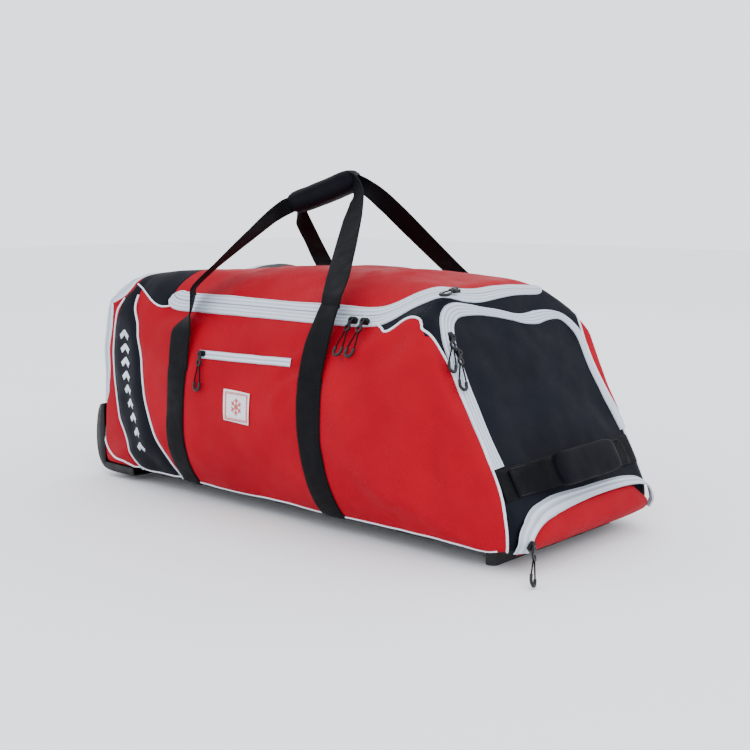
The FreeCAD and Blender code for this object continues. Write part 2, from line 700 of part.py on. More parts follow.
def make_sliders():
    toward_bag = V(0, 1, 0)
    pocket = body_seat(V(POCKET_X0 + 9, -400, POCKET_ZIP_Z), toward_bag)
    report_pull("pocket", pocket, V(1, 0, 0), V(0, -1, 0.36), V(0, -0.15, -1))
    lid_z = RIM_Z - 6
    for name, x in (("lid_a", 178.0), ("lid_b", 200.0)):
        seat = body_seat(V(x, -400, lid_z), toward_bag) + V(0, -0.6, 0.5)
        report_pull(name, seat, V(1, 0, 0), V(0, -1, 0.76), V(0, -0.66, -1))
    edge = body_seat(V(LID_X1 + 1, -96, 500), V(0, 0, -1))
    seat = V(LID_X1 + 5.5, edge.y, edge.z + 0.6)
    report_pull("lid_c", seat, V(0, 1, 0), V(0, 0, 1), V(0.36, -0.92, -0.1))
    for name, z, lean in (("end_a", 300.0, V(0, -0.65, 0)), ("end_b", 280.0, V(0, -0.45, 0))):
        seat = drop_point(z, -146, ZIP_SKIN)
        report_pull(name, seat, UP_DROP, N_DROP, lean - UP_DROP)
    seat = V(464.5, -157, 42)
    report_pull("low", seat, V(0, 0.75, 0.66), V(1, 0, 0), V(0.42, -0.66, -0.62))
    seat = body_seat(V(-600, -150, 280), V(1, 0, 0))
    report_pull("wheel_end", seat, V(0.34, 0, 1), V(-1, 0, 0.34), V(-0.36, 0, -1))


def report_pull(name, seat, along, normal, hang):
    hinge, w = make_slider(name, seat, along, normal, hang)
    unit = V(along).normalize()
    print("PULL %s hinge %.2f %.2f %.2f axis %.4f %.4f %.4f along %.4f %.4f %.4f" % (
        name, hinge.x, hinge.y, hinge.z, w.x, w.y, w.z, unit.x, unit.y, unit.z))


# ---------------------------------------------------------------- build
os.makedirs("parts", exist_ok=True)
make_shell()
make_base_board()
make_lid_zip()
make_pocket()
make_end_pocket_zip()
make_bottom_pocket()
make_wheel_end_zip()
make_sewn_straps()
make_handle("front_handle_webbing", -1, FRONT_PIVOT_X, 6.0)
make_handle("rear_handle_webbing", 1, REAR_PIVOT_X, 6.0)
make_grip()
make_tow_handle()
make_kick_plate()
make_housings()
make_wheels()
make_foot_bar()
make_sliders()
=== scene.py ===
"""Looks of a wheeled equipment bag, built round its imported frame.

Lengths are millimetres until a mesh is made.
"""

import json
import math

import bpy
import numpy as np
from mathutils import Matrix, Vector, noise
from mathutils.bvhtree import BVHTree


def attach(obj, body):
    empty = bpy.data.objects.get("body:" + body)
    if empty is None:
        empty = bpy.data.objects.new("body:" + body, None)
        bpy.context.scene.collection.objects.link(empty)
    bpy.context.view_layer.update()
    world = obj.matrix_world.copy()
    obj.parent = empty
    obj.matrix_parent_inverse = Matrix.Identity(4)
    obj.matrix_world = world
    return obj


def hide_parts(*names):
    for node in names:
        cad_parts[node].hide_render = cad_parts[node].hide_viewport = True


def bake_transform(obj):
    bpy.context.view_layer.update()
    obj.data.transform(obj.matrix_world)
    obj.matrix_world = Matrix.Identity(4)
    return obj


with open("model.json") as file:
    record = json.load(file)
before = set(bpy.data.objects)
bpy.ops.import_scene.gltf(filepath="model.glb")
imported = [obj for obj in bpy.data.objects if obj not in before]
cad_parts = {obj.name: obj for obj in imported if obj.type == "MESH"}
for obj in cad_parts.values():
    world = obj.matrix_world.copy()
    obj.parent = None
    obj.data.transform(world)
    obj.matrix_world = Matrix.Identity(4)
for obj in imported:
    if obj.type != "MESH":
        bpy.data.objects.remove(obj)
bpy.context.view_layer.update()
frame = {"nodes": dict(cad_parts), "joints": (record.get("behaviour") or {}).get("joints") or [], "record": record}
NODES = frame["nodes"]
JOINTS = {j["name"]: j for j in frame["joints"]}
MM = 0.001

# ---------------------------------------------------------------- camera, floor and light
cam_data = bpy.data.cameras.new("camera")
cam_data.lens = 58.33
cam_data.sensor_width = 36.0
cam_data.clip_end = 50
cam = bpy.data.objects.new("camera", cam_data)
cam.location = (1.3327, -1.4243, 0.4909)
cam.rotation_euler = (math.radians(81.6), 0, math.radians(41.9))
bpy.context.scene.collection.objects.link(cam)
bpy.context.scene.camera = cam


def area_light(name, spot, target, size, power, colour=(1, 1, 1)):
    data = bpy.data.lights.new(name, "AREA")
    data.shape = "DISK"
    data.size = size
    data.energy = power
    data.color = colour
    lamp = bpy.data.objects.new(name, data)
    lamp.location = spot
    aim = Vector(target) - Vector(spot)
    lamp.rotation_euler = aim.to_track_quat("-Z", "Y").to_euler()
    bpy.context.scene.collection.objects.link(lamp)


area_light("key", (2.4, -1.6, 2.0), (0.15, -0.1, 0.2), 1.4, 30)
area_light("fill", (-1.6, -2.6, 1.6), (0, 0, 0.2), 2.2, 3)
area_light("top", (0, 0.2, 3.0), (0, 0, 0.2), 2.6, 2)
area_light("back", (-1.2, 2.6, 1.8), (0, 0, 0.25), 2.0, 6)
world = bpy.data.worlds.new("studio")
world.use_nodes = True
world.node_tree.nodes["Background"].inputs["Color"].default_value = (0.93, 0.95, 1.0, 1)
world.node_tree.nodes["Background"].inputs["Strength"].default_value = 2.1
bpy.context.scene.world = world


# ---------------------------------------------------------------- materials
class Look:
    """A Principled material with short-hands for its nodes."""

    def __init__(self, name, colour, rough, metal=0.0, shine=0.3):
        self.mat = bpy.data.materials.new(name)
        self.mat.use_nodes = True
        self.tree = self.mat.node_tree
        self.shader = self.tree.nodes["Principled BSDF"]
        self.shader.inputs["Base Color"].default_value = (*colour, 1)
        self.shader.inputs["Roughness"].default_value = rough
        self.shader.inputs["Metallic"].default_value = metal
        self.shader.inputs["Specular IOR Level"].default_value = shine
        self.colour = colour
        self.rough = rough
        self.coord = self.tree.nodes.new("ShaderNodeTexCoord")
        self.height = None

    def node(self, kind, **values):
        made = self.tree.nodes.new(kind)
        for key, value in values.items():
            setattr(made, key, value)
        return made

    def link(self, a, b):
        self.tree.links.new(a, b)

    def wave(self, period, direction, space="Object", distortion=0.0):
        """Bands with a period in millimetres."""
        made = self.node("ShaderNodeTexWave", bands_direction=direction)
        made.inputs["Scale"].default_value = math.pi / (10 * period * MM)
        made.inputs["Distortion"].default_value = distortion
        self.link(self.coord.outputs[space], made.inputs["Vector"])
        return made.outputs["Fac"]

    def noise(self, scale, detail=3.0):
        made = self.node("ShaderNodeTexNoise")
        made.inputs["Scale"].default_value = scale
        made.inputs["Detail"].default_value = detail
        self.link(self.coord.outputs["Object"], made.inputs["Vector"])
        return made.outputs["Fac"]

    def bump(self, height, strength, distance):
        made = self.node("ShaderNodeBump")
        made.inputs["Strength"].default_value = strength
        made.inputs["Distance"].default_value = distance * MM
        self.link(height, made.inputs["Height"])
        if self.height is not None:
            self.link(self.height, made.inputs["Normal"])
        self.height = made.outputs["Normal"]
        self.link(self.height, self.shader.inputs["Normal"])

    def tint(self, fac, low, high, dark, light):
        """Base colour from dark to light where a texture goes from low to high."""
        ramp = self.node("ShaderNodeValToRGB")
        ramp.color_ramp.elements[0].position = low
        ramp.color_ramp.elements[1].position = high
        ramp.color_ramp.elements[0].color = (*[c * dark for c in self.colour], 1)
        ramp.color_ramp.elements[1].color = (*[min(1, c * light) for c in self.colour], 1)
        self.link(fac, ramp.inputs["Fac"])
        self.link(ramp.outputs["Color"], self.shader.inputs["Base Color"])

    def wear(self, fac, low, high, smooth, coarse):
        span = self.node("ShaderNodeMapRange")
        span.inputs["From Min"].default_value = low
        span.inputs["From Max"].default_value = high
        span.inputs["To Min"].default_value = smooth
        span.inputs["To Max"].default_value = coarse
        self.link(fac, span.inputs["Value"])
        self.link(span.outputs["Result"], self.shader.inputs["Roughness"])


def polyester(name, colour, rough, sheen):
    look = Look(name, colour, rough, shine=0.05)
    look.tint(look.noise(9), 0.3, 0.72, 0.88, 1.1)
    look.wear(look.noise(30), 0.3, 0.7, rough - 0.06, rough + 0.08)
    look.bump(look.noise(22, 4), 0.25, 1.2)
    look.bump(look.wave(2.4, "DIAGONAL"), 0.4, 0.35)
    look.bump(look.wave(1.6, "X"), 0.12, 0.2)
    look.shader.inputs["Sheen Weight"].default_value = sheen * 0.3
    look.shader.inputs["Sheen Roughness"].default_value = 0.5
    return look.mat


def woven_tape(name, colour, rough, cross, along, groove_painted_shade=0.9):
    look = Look(name, colour, rough, shine=0.08)
    # Painted shade: the base colour darkens in lengthwise stripes that follow the ridges of the bump below,
    # standing in for shade in the grooves between them.
    look.tint(look.wave(along, "Y", "UV"), 0.0, 0.8, groove_painted_shade, 1.02)
    look.wear(look.noise(60), 0.3, 0.7, rough - 0.06, rough + 0.08)
    look.bump(look.wave(cross, "X", "UV"), 0.45, 0.3)
    look.bump(look.wave(along, "Y", "UV"), 0.30, 0.25)
    return look.mat


def moulded(name, colour, rough, grain):
    look = Look(name, colour, rough)
    look.tint(look.noise(20), 0.3, 0.75, 0.8, 1.35)
    look.wear(look.noise(55, 5), 0.3, 0.7, rough - 0.08, rough + 0.14)
    look.bump(look.noise(900), grain, 0.2)
    look.bump(look.noise(70, 6), 0.10, 0.3)
    return look.mat


def metal(name, colour, rough, amount):
    look = Look(name, colour, rough, amount)
    look.tint(look.noise(80), 0.3, 0.7, 0.75, 1.2)
    look.wear(look.noise(300), 0.3, 0.7, rough - 0.08, rough + 0.15)
    look.bump(look.noise(600), 0.1, 0.1)
    return look.mat


MATS = {
    "red_fabric": polyester("red_polyester", (0.30, 0.0008, 0.010), 0.62, 0.03),
    "black_fabric": polyester("black_polyester", (0.0035, 0.0045, 0.008), 0.55, 0.02),
    "stiffener": moulded("board", (0.08, 0.08, 0.085), 0.6, 0.2),
    # The zip tape's last argument darkens it strongly in stripes: painted shade between the zip's ridges.
    "zip_tape": woven_tape("white_zip_tape", (0.56, 0.62, 0.71), 0.5, 2.0, 6.2, 0.66),
    "patch_fabric": woven_tape("patch_weave", (0.70, 0.70, 0.73), 0.6, 1.2, 1.2),
    "webbing": woven_tape("black_webbing", (0.002, 0.002, 0.003), 0.62, 1.8, 3.0),
    "padding": polyester("pad_cover", (0.003, 0.0035, 0.006), 0.6, 0.02),
    "moulded_black": moulded("moulded_nylon", (0.004, 0.004, 0.005), 0.5, 0.25),
    "rubber": moulded("rubber_facing", (0.02, 0.02, 0.02), 0.8, 0.3),
    "tyre": moulded("tyre_polyurethane", (0.018, 0.018, 0.018), 0.6, 0.3),
    "steel": metal("zinc_plate", (0.6, 0.6, 0.62), 0.32, 1.0),
    "slider_metal": metal("black_enamel", (0.003, 0.003, 0.004), 0.35, 0.4),
    "pull_plastic": moulded("pull_nylon", (0.003, 0.003, 0.004), 0.42, 0.15),
    "cord": woven_tape("braided_cord", (0.003, 0.003, 0.004), 0.7, 1.0, 1.0),
}
PIPING = woven_tape("white_piping", (0.66, 0.70, 0.78), 0.55, 1.4, 2.0)
RED_THREAD = woven_tape("red_thread", (0.55, 0.10, 0.10), 0.6, 0.8, 0.8)
BLACK_THREAD = woven_tape("black_thread", (0.03, 0.035, 0.045), 0.5, 0.8, 0.8)
PALE_PRINT = moulded("pale_print", (0.58, 0.66, 0.74), 0.45, 0.1)

floor_mesh = bpy.data.meshes.new("floor")
floor_mesh.from_pydata([(-9, -9, 0), (9, -9, 0), (9, 9, 0), (-9, 9, 0)], [], [(0, 1, 2, 3)])
floor = bpy.data.objects.new("floor", floor_mesh)
floor_look = Look("floor_paint", (0.90, 0.91, 0.93), 0.85)
floor_look.tint(floor_look.noise(2), 0.2, 0.8, 0.99, 1.0)
floor_mesh.materials.append(floor_look.mat)
bpy.context.scene.collection.objects.link(floor)

for record_part in frame["record"]["subparts"]:
    cad_mesh = NODES[record_part["node"]].data
    cad_mesh.materials.clear()
    cad_mesh.materials.append(MATS[record_part["material_slot"]])


# ---------------------------------------------------------------- making meshes
def make(name, points, faces, body, slot, mat=None, uvs=None, smooth=True, replaces=(), thick=0.0):
    """A piece of the object from points in millimetres."""
    mesh = bpy.data.meshes.new(name)
    mesh.from_pydata([tuple(float(c) * MM for c in p) for p in points], [], [tuple(f) for f in faces])
    if uvs is not None:
        layer = mesh.uv_layers.new(name="UVMap")
        for loop in mesh.loops:
            layer.data[loop.index].uv = uvs[loop.vertex_index]
    mesh.materials.append(mat or MATS[slot])
    for poly in mesh.polygons:
        poly.use_smooth = smooth
    mesh.update()
    piece = bpy.data.objects.new(name, mesh)
    bpy.context.scene.collection.objects.link(piece)
    if thick:
        solid = piece.modifiers.new("thickness", "SOLIDIFY")
        solid.thickness = thick * MM
        solid.offset = -1
    if body:
        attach(piece, body)
    if replaces:
        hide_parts(*replaces)
    return piece


def circle_through(a, b, c):
    """Centre and radius of the circle through three points of a plane."""
    m = np.array([[b[0] - a[0], b[1] - a[1]], [c[0] - a[0], c[1] - a[1]]], float) * 2
    r = np.array([b[0] ** 2 - a[0] ** 2 + b[1] ** 2 - a[1] ** 2,
                  c[0] ** 2 - a[0] ** 2 + c[1] ** 2 - a[1] ** 2])
    centre = np.linalg.solve(m, r)
    return centre, math.hypot(a[0] - centre[0], a[1] - centre[1])


def arc_points(a, b, c, count):
    """Points on the arc from a through b to c, both ends included."""
    centre, radius = circle_through(a, b, c)
    angles = [math.atan2(p[1] - centre[1], p[0] - centre[0]) for p in (a, b, c)]
    turn = (angles[2] - angles[0] + math.pi) % (2 * math.pi) - math.pi
    return [(centre[0] + radius * math.cos(angles[0] + turn * i / (count - 1)),
             centre[1] + radius * math.sin(angles[0] + turn * i / (count - 1))) for i in range(count)]


def smoothstep(t, a=0.0, b=1.0):
    t = np.clip((np.asarray(t, float) - a) / (b - a), 0, 1)
    return t * t * (3 - 2 * t)


# ---------------------------------------------------------------- the body's form
BASE_Z, RIM_Z = 25.0, 322.0
DROP_RUN = 0.56
UP_DROP = Vector((-DROP_RUN, 0, 1)).normalized()
N_DROP = Vector((1, 0, DROP_RUN)).normalized()
SIDE_C, SIDE_R = circle_through((176, 25), (228, 178), (174, 322))
TOP_C, TOP_R = circle_through((-174, 322), (0, 385), (174, 322))
PLAN_C, PLAN_R = circle_through((-480, 158), (0, 236), (480, 158))
OUTLINE = ([(-425, 25), (-434, 45), (-436, 127)] + arc_points((-412, 234), (-388, 304), (-316, 350), 8)
           + arc_points((-316, 350), (-20, 381), (262, 366), 12)[1:] + [(289, 354)])
LOW_CURVE = [(448, 70), (452, 45), (445, 31), (425, 25)]


def drop_x(z):
    return 448.0 - DROP_RUN * (z - 70.0)


def rounded(parts, blend):
    """Largest of several distances, the edges between them rounded."""
    parts = np.stack(parts)
    peak = parts.max(0)
    return peak + blend * np.log(np.exp((parts - peak) / blend).sum(0))


def half_planes(x, z, line):
    """How far points of the side view are outside a convex line."""
    far = np.full(len(x), -1e9)
    for a, b in zip(line[:-1], line[1:]):
        n = np.array([-(b[1] - a[1]), b[0] - a[0]], float)
        n /= np.linalg.norm(n)
        far = np.maximum(far, (x - a[0]) * n[0] + (z - a[1]) * n[1])
    return far


def outside(points):
    """How far points are outside the body, its edges rounded."""
    x, y, z = points[:, 0], points[:, 1], points[:, 2]
    side = np.hypot(np.abs(y) - SIDE_C[0], z - SIDE_C[1]) - SIDE_R
    top = np.hypot(y - TOP_C[0], z - TOP_C[1]) - TOP_R
    plan = np.hypot(x - PLAN_C[0], np.abs(y) - PLAN_C[1]) - PLAN_R
    walls = rounded([side, plan], 1.2)
    around = rounded([walls, top, BASE_Z - z], 2.5)
    drop = (x - drop_x(z)) * N_DROP.x
    ends = rounded([half_planes(x, z, OUTLINE), half_planes(x, z, LOW_CURVE), drop], 1.0)
    return rounded([around, ends], 4.0)


def onto_body(points):
    """Points moved along lines from the body's inner core onto its surface."""
    core = points.copy()
    core[:, 2] = np.clip(core[:, 2], 110, 230)
    core[:, 1] = np.clip(core[:, 1], -90, 90)
    core[:, 0] = np.clip(core[:, 0], -350, drop_x(core[:, 2]) - 90)
    way = points - core
    low = np.zeros(len(points))
    high = np.full(len(points), 1.4)
    for _ in range(34):
        mid = (low + high) / 2
        out = outside(core + way * mid[:, None]) > 0
        high = np.where(out, mid, high)
        low = np.where(out, low, mid)
    return core + way * low[:, None]


def box_grid(x0, x1, y0, y1, z0, z1, step):
    """Points and quads of a box's faces, welded."""
    xs = np.linspace(x0, x1, int((x1 - x0) / step) + 1)
    ys = np.linspace(y0, y1, int((y1 - y0) / step) + 1)
    zs = np.linspace(z0, z1, int((z1 - z0) / step) + 1)
    index = {}
    points = []
    quads = []

    def corner(i, j, k):
        key = (i, j, k)
        if key not in index:
            index[key] = len(points)
            points.append((xs[i], ys[j], zs[k]))
        return index[key]

    nx, ny, nz = len(xs) - 1, len(ys) - 1, len(zs) - 1

    def quad(*places):
        quads.append(tuple(corner(*place) for place in places))

    for i in range(nx):
        for k in range(nz):
            quad((i, 0, k), (i + 1, 0, k), (i + 1, 0, k + 1), (i, 0, k + 1))
            quad((i, ny, k), (i, ny, k + 1), (i + 1, ny, k + 1), (i + 1, ny, k))
        for j in range(ny):
            quad((i, j, 0), (i, j + 1, 0), (i + 1, j + 1, 0), (i + 1, j, 0))
            quad((i, j, nz), (i + 1, j, nz), (i + 1, j + 1, nz), (i, j + 1, nz))
    for j in range(ny):
        for k in range(nz):
            quad((0, j, k), (0, j, k + 1), (0, j + 1, k + 1), (0, j + 1, k))
            quad((nx, j, k), (nx, j + 1, k), (nx, j + 1, k + 1), (nx, j, k + 1))
    return np.array(points), np.array(quads)


def point_normals(points, quads):
    a = points[quads[:, 2]] - points[quads[:, 0]]
    b = points[quads[:, 3]] - points[quads[:, 1]]
    n = np.cross(a, b)
    total = np.zeros_like(points)
    for c in range(4):
        np.add.at(total, quads[:, c], n)
    return total / np.maximum(np.linalg.norm(total, axis=1), 1e-9)[:, None]


def line_distance(x, z, line):
    """Distance in the side view to an open line of points."""
    best = np.full(len(x), 1e9)
    for a, b in zip(line[:-1], line[1:]):
        d = np.array(b, float) - np.array(a, float)
        t = np.clip(((x - a[0]) * d[0] + (z - a[1]) * d[1]) / (d @ d), 0, 1)
        best = np.minimum(best, np.hypot(x - a[0] - t * d[0], z - a[1] - t * d[1]))
    return best


SEAM_A = [(-318, 0), (-318, 28), (-332, 66), (-348, 91), (-366, 119), (-378, 165), (-378, 220), (-371, 264),
          (-352, 300), (-345, 450)]
SEAM_B = [(-212, 0), (-212, 28), (-222, 66), (-234, 97), (-250, 130), (-262, 160), (-269, 192), (-280, 250),
          (-292, 279), (-312, 305), (-318, 322), (-318, 450)]
END_SEAM = [(-420, 0), (-420, 127), (-397, 234), (-374, 296), (-335, 334), (-335, 450)]
TOP_LEFT = [(-352, 350), (-333, 343), (-315, 336), (-292, 326), (-266, 315), (-244, 312), (-224, 316),
            (-205, 323)]
SHOULDER = [(186, 323), (205, 318), (226, 311), (243, 307), (262, 321), (277, 328), (292, 326), (302, 320),
            (311, 306)]
DROP_EDGE = [(20, 166), (45, 170), (76, 171), (111, 169), (154, 168), (211, 167), (262, 168), (301, 177),
             (321, 185), (360, 192)]

# folds of the front and rear fabric: a line in the side view, depth and width
FOLDS = [
    ([(112, 262), (92, 244), (70, 232)], -5.0, 10.0),
    ([(110, 285), (60, 268), (20, 262)], -3.5, 14.0),
    ([(108, 240), (80, 222), (60, 190)], 3.0, 12.0),
    ([(276, 322), (240, 296), (196, 270)], 6.0, 14.0),
    ([(268, 300), (226, 268), (190, 230)], -4.0, 16.0),
    ([(286, 312), (296, 250), (300, 190), (280, 120)], 5.0, 22.0),
    ([(320, 270), (330, 200), (330, 130)], -4.0, 20.0),
    ([(190, 180), (230, 130), (250, 80)], 4.0, 24.0),
    ([(170, 120), (215, 80), (260, 55)], -3.5, 20.0),
    ([(350, 150), (370, 100), (400, 60)], 4.5, 18.0),
    ([(-300, 250), (-290, 170), (-270, 90)], 3.5, 22.0),
    ([(-330, 150), (-300, 90), (-270, 50)], -3.0, 18.0),
    ([(-140, 230), (-120, 160), (-130, 80)], 2.5, 30.0),
    ([(-190, 300), (-240, 296), (-300, 310)], -4.5, 12.0),
    ([(60, 130), (30, 90), (-40, 60)], -2.5, 30.0),
    ([(-30, 298), (-90, 300), (-150, 306)], -3.0, 10.0),
]


def shaped(points, normals):
    """The fabric's folds, the pull of its seams and its slack, as movement along the surface normal."""
    x, y, z = points[:, 0], points[:, 1], points[:, 2]
    on_side = smoothstep(np.abs(normals[:, 1]), 0.35, 0.75)
    on_front = on_side * (y < 0)
    move = np.zeros(len(x))
    for line, depth, width in FOLDS:
        near = np.exp(-(line_distance(x, z, line) / width) ** 2)
        move += depth * near * (on_front + 0.6 * on_side * (y > 0))
    for seam, pull in ((SEAM_A, 2.4), (SEAM_B, 2.6)):
        move -= pull * np.exp(-(line_distance(x, z, seam) / 9.0) ** 2) * on_side
    rim = np.exp(-((z - RIM_Z + 8) / 14.0) ** 2) * on_side * (x > -240) * (x < 300)
    move -= 2.5 * rim
    sag = np.exp(-((z - 350) / 30.0) ** 2) * np.exp(-((x + 40) / 160.0) ** 2)
    move -= 2.0 * sag
    slack = np.array([noise.noise(Vector((p[0] / 95, p[1] / 95, p[2] / 95))) for p in points])
    fine = np.array([noise.noise(Vector((p[0] / 34 + 7, p[1] / 34, p[2] / 34))) for p in points])
    on_base = smoothstep(-normals[:, 2], 0.5, 0.9)
    move += (4.2 * slack + 1.1 * fine) * (1 - on_base)
    shaped_points = points + normals * move[:, None]
    crown = smoothstep(-x, 170, 290) * smoothstep(z, 270, 330)
    shaped_points[:, 2] += crown * (5 + 11 * smoothstep(np.abs(y), 40, 150))
    return shaped_points


GRID_STEP = 5.0
body_points, body_quads = box_grid(-437, 466, -229, 229, 24, 386, GRID_STEP)
body_points = onto_body(body_points)
links = np.concatenate([body_quads[:, pair] for pair in ([0, 1], [1, 2], [2, 3], [3, 0])])
for _ in range(2):
    total = np.zeros_like(body_points)
    count = np.zeros(len(body_points))
    np.add.at(total, links[:, 0], body_points[links[:, 1]])
    np.add.at(total, links[:, 1], body_points[links[:, 0]])
    np.add.at(count, links[:, 0], 1)
    np.add.at(count, links[:, 1], 1)
    body_points = 0.5 * body_points + 0.5 * total / count[:, None]
body_points = shaped(body_points, point_normals(body_points, body_quads))
body_normals = point_normals(body_points, body_quads)
BODY = BVHTree.FromPolygons([Vector(p) for p in body_points], [tuple(int(i) for i in q) for q in body_quads])


def near(point):
    """Nearest point of the bag's surface and its normal."""
    spot, _, face, _ = BODY.find_nearest(Vector(point))
    weights = []
    for i in body_quads[face]:
        gap = (Vector(body_points[i]) - spot).length
        weights.append((1 / (gap + 0.5), body_normals[i]))
    n = sum((w * v for w, v in weights), np.zeros(3))
    return spot, Vector(n).normalized()


def beside_bag(x, z, side):
    """The surface at a place in the side view; side -1 is the front."""
    spot, _, _, _ = BODY.ray_cast(Vector((x, side * 400, z)), Vector((0, -side, 0)))
    return spot


def side_path(line, side):
    """The surface under a line of (x, z) places, missing places left out."""
    spots = [beside_bag(x, z, side) for x, z in line]
    return [p for p in spots if p is not None]


# ---------------------------------------------------------------- panels cut from the surface
def split(points, faces, field):
    """Cuts polygons where a value at their points crosses zero; returns points, inner faces, outer faces."""
    value = field(np.array(points))
    value[np.abs(value) < 0.25] = 0.0
    points = list(map(tuple, points))
    value = list(value)
    cuts = {}
    inner, outer = [], []

    def crossing(i, j):
        key = (min(i, j), max(i, j))
        if key not in cuts:
            t = value[i] / (value[i] - value[j])
            a, b = points[i], points[j]
            cuts[key] = len(points)
            points.append(tuple(a[k] + (b[k] - a[k]) * t for k in range(3)))
            value.append(0.0)
        return cuts[key]

    for face in faces:
        signs = [value[i] for i in face]
        if min(signs) >= 0:
            inner.append(face)
        elif max(signs) <= 0:
            outer.append(face)
        else:
            for keep, bag in ((1, inner), (-1, outer)):
                ring = []
                for i, j in zip(face, face[1:] + face[:1]):
                    if value[i] * keep >= 0:
                        ring.append(i)
                    if value[i] * value[j] < 0:
                        ring.append(crossing(i, j))
                if len(ring) > 2:
                    bag.append(ring)
    return points, inner, outer


def beside(line):
    """Signed distance to a line in the side view, positive on the wheel end's side."""
    def field(p):
        x, z = p[:, 0], p[:, 2]
        gap = line_distance(x, z, line)
        zs = np.array([q[1] for q in line], float)
        xs = np.array([q[0] for q in line], float)
        edge = np.interp(z, zs, xs)
        return np.where(x < edge, gap, -gap)
    return field


def lid_field(p):
    """Positive inside the lid's opening."""
    x, y, z = p[:, 0], p[:, 1], p[:, 2]
    left, right, front = -238.0, 286.0, -182.0
    wide, deep = 125.0, 132.0
    flat = np.minimum.reduce([x - left, right - x, y - front, z - RIM_Z])
    near_left = (x < left + 25) & (y < front + 25)
    flat = np.where(near_left, np.minimum(flat, 25 - np.hypot(x - left - 25, y - front - 25)), flat)
    u = (x - right + wide) / wide
    v = (front + deep - y) / deep
    sweep = (1 - np.hypot(u, v)) * wide
    return np.where((u > 0) & (v > 0), np.minimum(flat, sweep), flat)


def drop_field(p):
    x, y, z = p[:, 0], p[:, 1], p[:, 2]
    zs = [q[0] for q in DROP_EDGE]
    edge = np.interp(z, zs, [q[1] for q in DROP_EDGE])
    depth = np.where(z > 70, x - (drop_x(z) - 12), x - 436)
    return np.minimum(edge - np.abs(y), depth)


def gusset_field(p):
    """Positive above the seam between the side and the top piece."""
    x, z = p[:, 0], p[:, 2]
    xs = [q[0] for q in TOP_LEFT] + [q[0] for q in SHOULDER]
    zs = [q[1] for q in TOP_LEFT] + [q[1] for q in SHOULDER]
    return (z - np.interp(x, xs, zs)) * 0.9


panel_points = body_points
rest = [[int(i) for i in q] for q in body_quads]
panels = {}
for panel, field in (
    ("lid_panel", lid_field),
    ("base_panel", lambda p: BASE_Z + 3.0 - p[:, 2]),
    ("drop_end_panel", drop_field),
    ("wheel_end_panel", beside(END_SEAM)),
    ("top_gussets", gusset_field),
    ("corner_panels", beside(SEAM_A)),
    ("band_panels", beside(SEAM_B)),
    ("front_panel", lambda p: -p[:, 1]),
):
    panel_points, panels[panel], rest = split(panel_points, rest, field)
panels["rear_panel"] = rest
CLOTH_THICK = 2.8
SLOT_OF = {"band_panels": "black_fabric", "drop_end_panel": "black_fabric", "top_gussets": "black_fabric",
           "base_panel": "black_fabric"}
for panel, faces in panels.items():
    used = sorted({i for f in faces for i in f})
    place = {i: k for k, i in enumerate(used)}
    make(panel + "_cloth", [panel_points[i] for i in used], [[place[i] for i in f] for f in faces],
         "lid" if panel == "lid_panel" else "shell", SLOT_OF.get(panel, "red_fabric"), replaces=[panel],
         thick=CLOTH_THICK)


# ---------------------------------------------------------------- strips, tubes and stitches on the surface
def even_path(points, step=5.0):
    """A smooth line through points, sampled evenly."""
    pts = [Vector(p) for p in points]
    out = []
    count = len(pts)
    for i in range(count - 1):
        p0, p1, p2, p3 = pts[max(i - 1, 0)], pts[i], pts[i + 1], pts[min(i + 2, count - 1)]
        parts = max(2, int((p2 - p1).length / 1.5))
        for k in range(parts):
            t = k / parts
            out.append(0.5 * ((2 * p1) + (p2 - p0) * t + (2 * p0 - 5 * p1 + 4 * p2 - p3) * t * t
                              + (3 * p1 - p0 - 3 * p2 + p3) * t ** 3))
    out.append(pts[-1])
    gaps = [0.0]
    for a, b in zip(out[:-1], out[1:]):
        gaps.append(gaps[-1] + (b - a).length)
    steps = max(2, int(round(gaps[-1] / step)))
    marks = np.linspace(0, gaps[-1], steps + 1)
    return [Vector([float(np.interp(m, gaps, [p[k] for p in out])) for k in range(3)]) for m in marks]


def sheet_faces(rows, wide):
    """Quads of an open sheet whose points run along each row."""
    corners = [i * wide + j for i in range(rows - 1) for j in range(wide - 1)]
    return [(a, a + 1, a + wide + 1, a + wide) for a in corners]


def ring_faces(rows, ring):
    """Quads of a sleeve whose points run round each ring."""
    faces = []
    for i in range(rows - 1):
        for k in range(ring):
            a = i * ring + k
            b = i * ring + (k + 1) % ring
            faces.append((a, b, b + ring, a + ring))
    return faces


def capped_faces(rows, ring):
    """A sleeve's quads and its two flat ends."""
    first = tuple(range(ring))[::-1]
    last = tuple(range((rows - 1) * ring, rows * ring))
    return ring_faces(rows, ring) + [first, last]


def strip(name, path, profile, body, slot, mat=None, replaces=(), step=5.0, lift=0.0, taper=0.0, width=None):
    """A band on the surface. profile is (offset across, height) pairs; taper rounds its two ends off."""
    line = [near(p) for p in even_path(path, step)]
    spots = [a for a, _ in line]
    points, uvs = [], []
    length = 0.0
    total = sum((b - a).length for a, b in zip(spots[:-1], spots[1:]))
    for i, (spot, normal) in enumerate(line):
        ahead = spots[min(i + 1, len(spots) - 1)] - spots[max(i - 1, 0)]
        across = normal.cross(ahead).normalized()
        if i:
            length += (spot - spots[i - 1]).length
        scale = 1.0
        if taper:
            end = min(length, total - length)
            if end < taper:
                scale = math.sqrt(max(0.02, 1 - (1 - end / taper) ** 2))
        if width:
            scale *= width(length / total)
        for offset, height in profile:
            seat, n = near(spot + across * offset * scale)
            points.append(seat + n * (height * (0.4 + 0.6 * scale) + lift))
            uvs.append((length * MM, offset * MM))
    faces = [face[::-1] for face in sheet_faces(len(line), len(profile))]
    return make(name, points, faces, body, slot, mat, uvs, replaces=replaces)


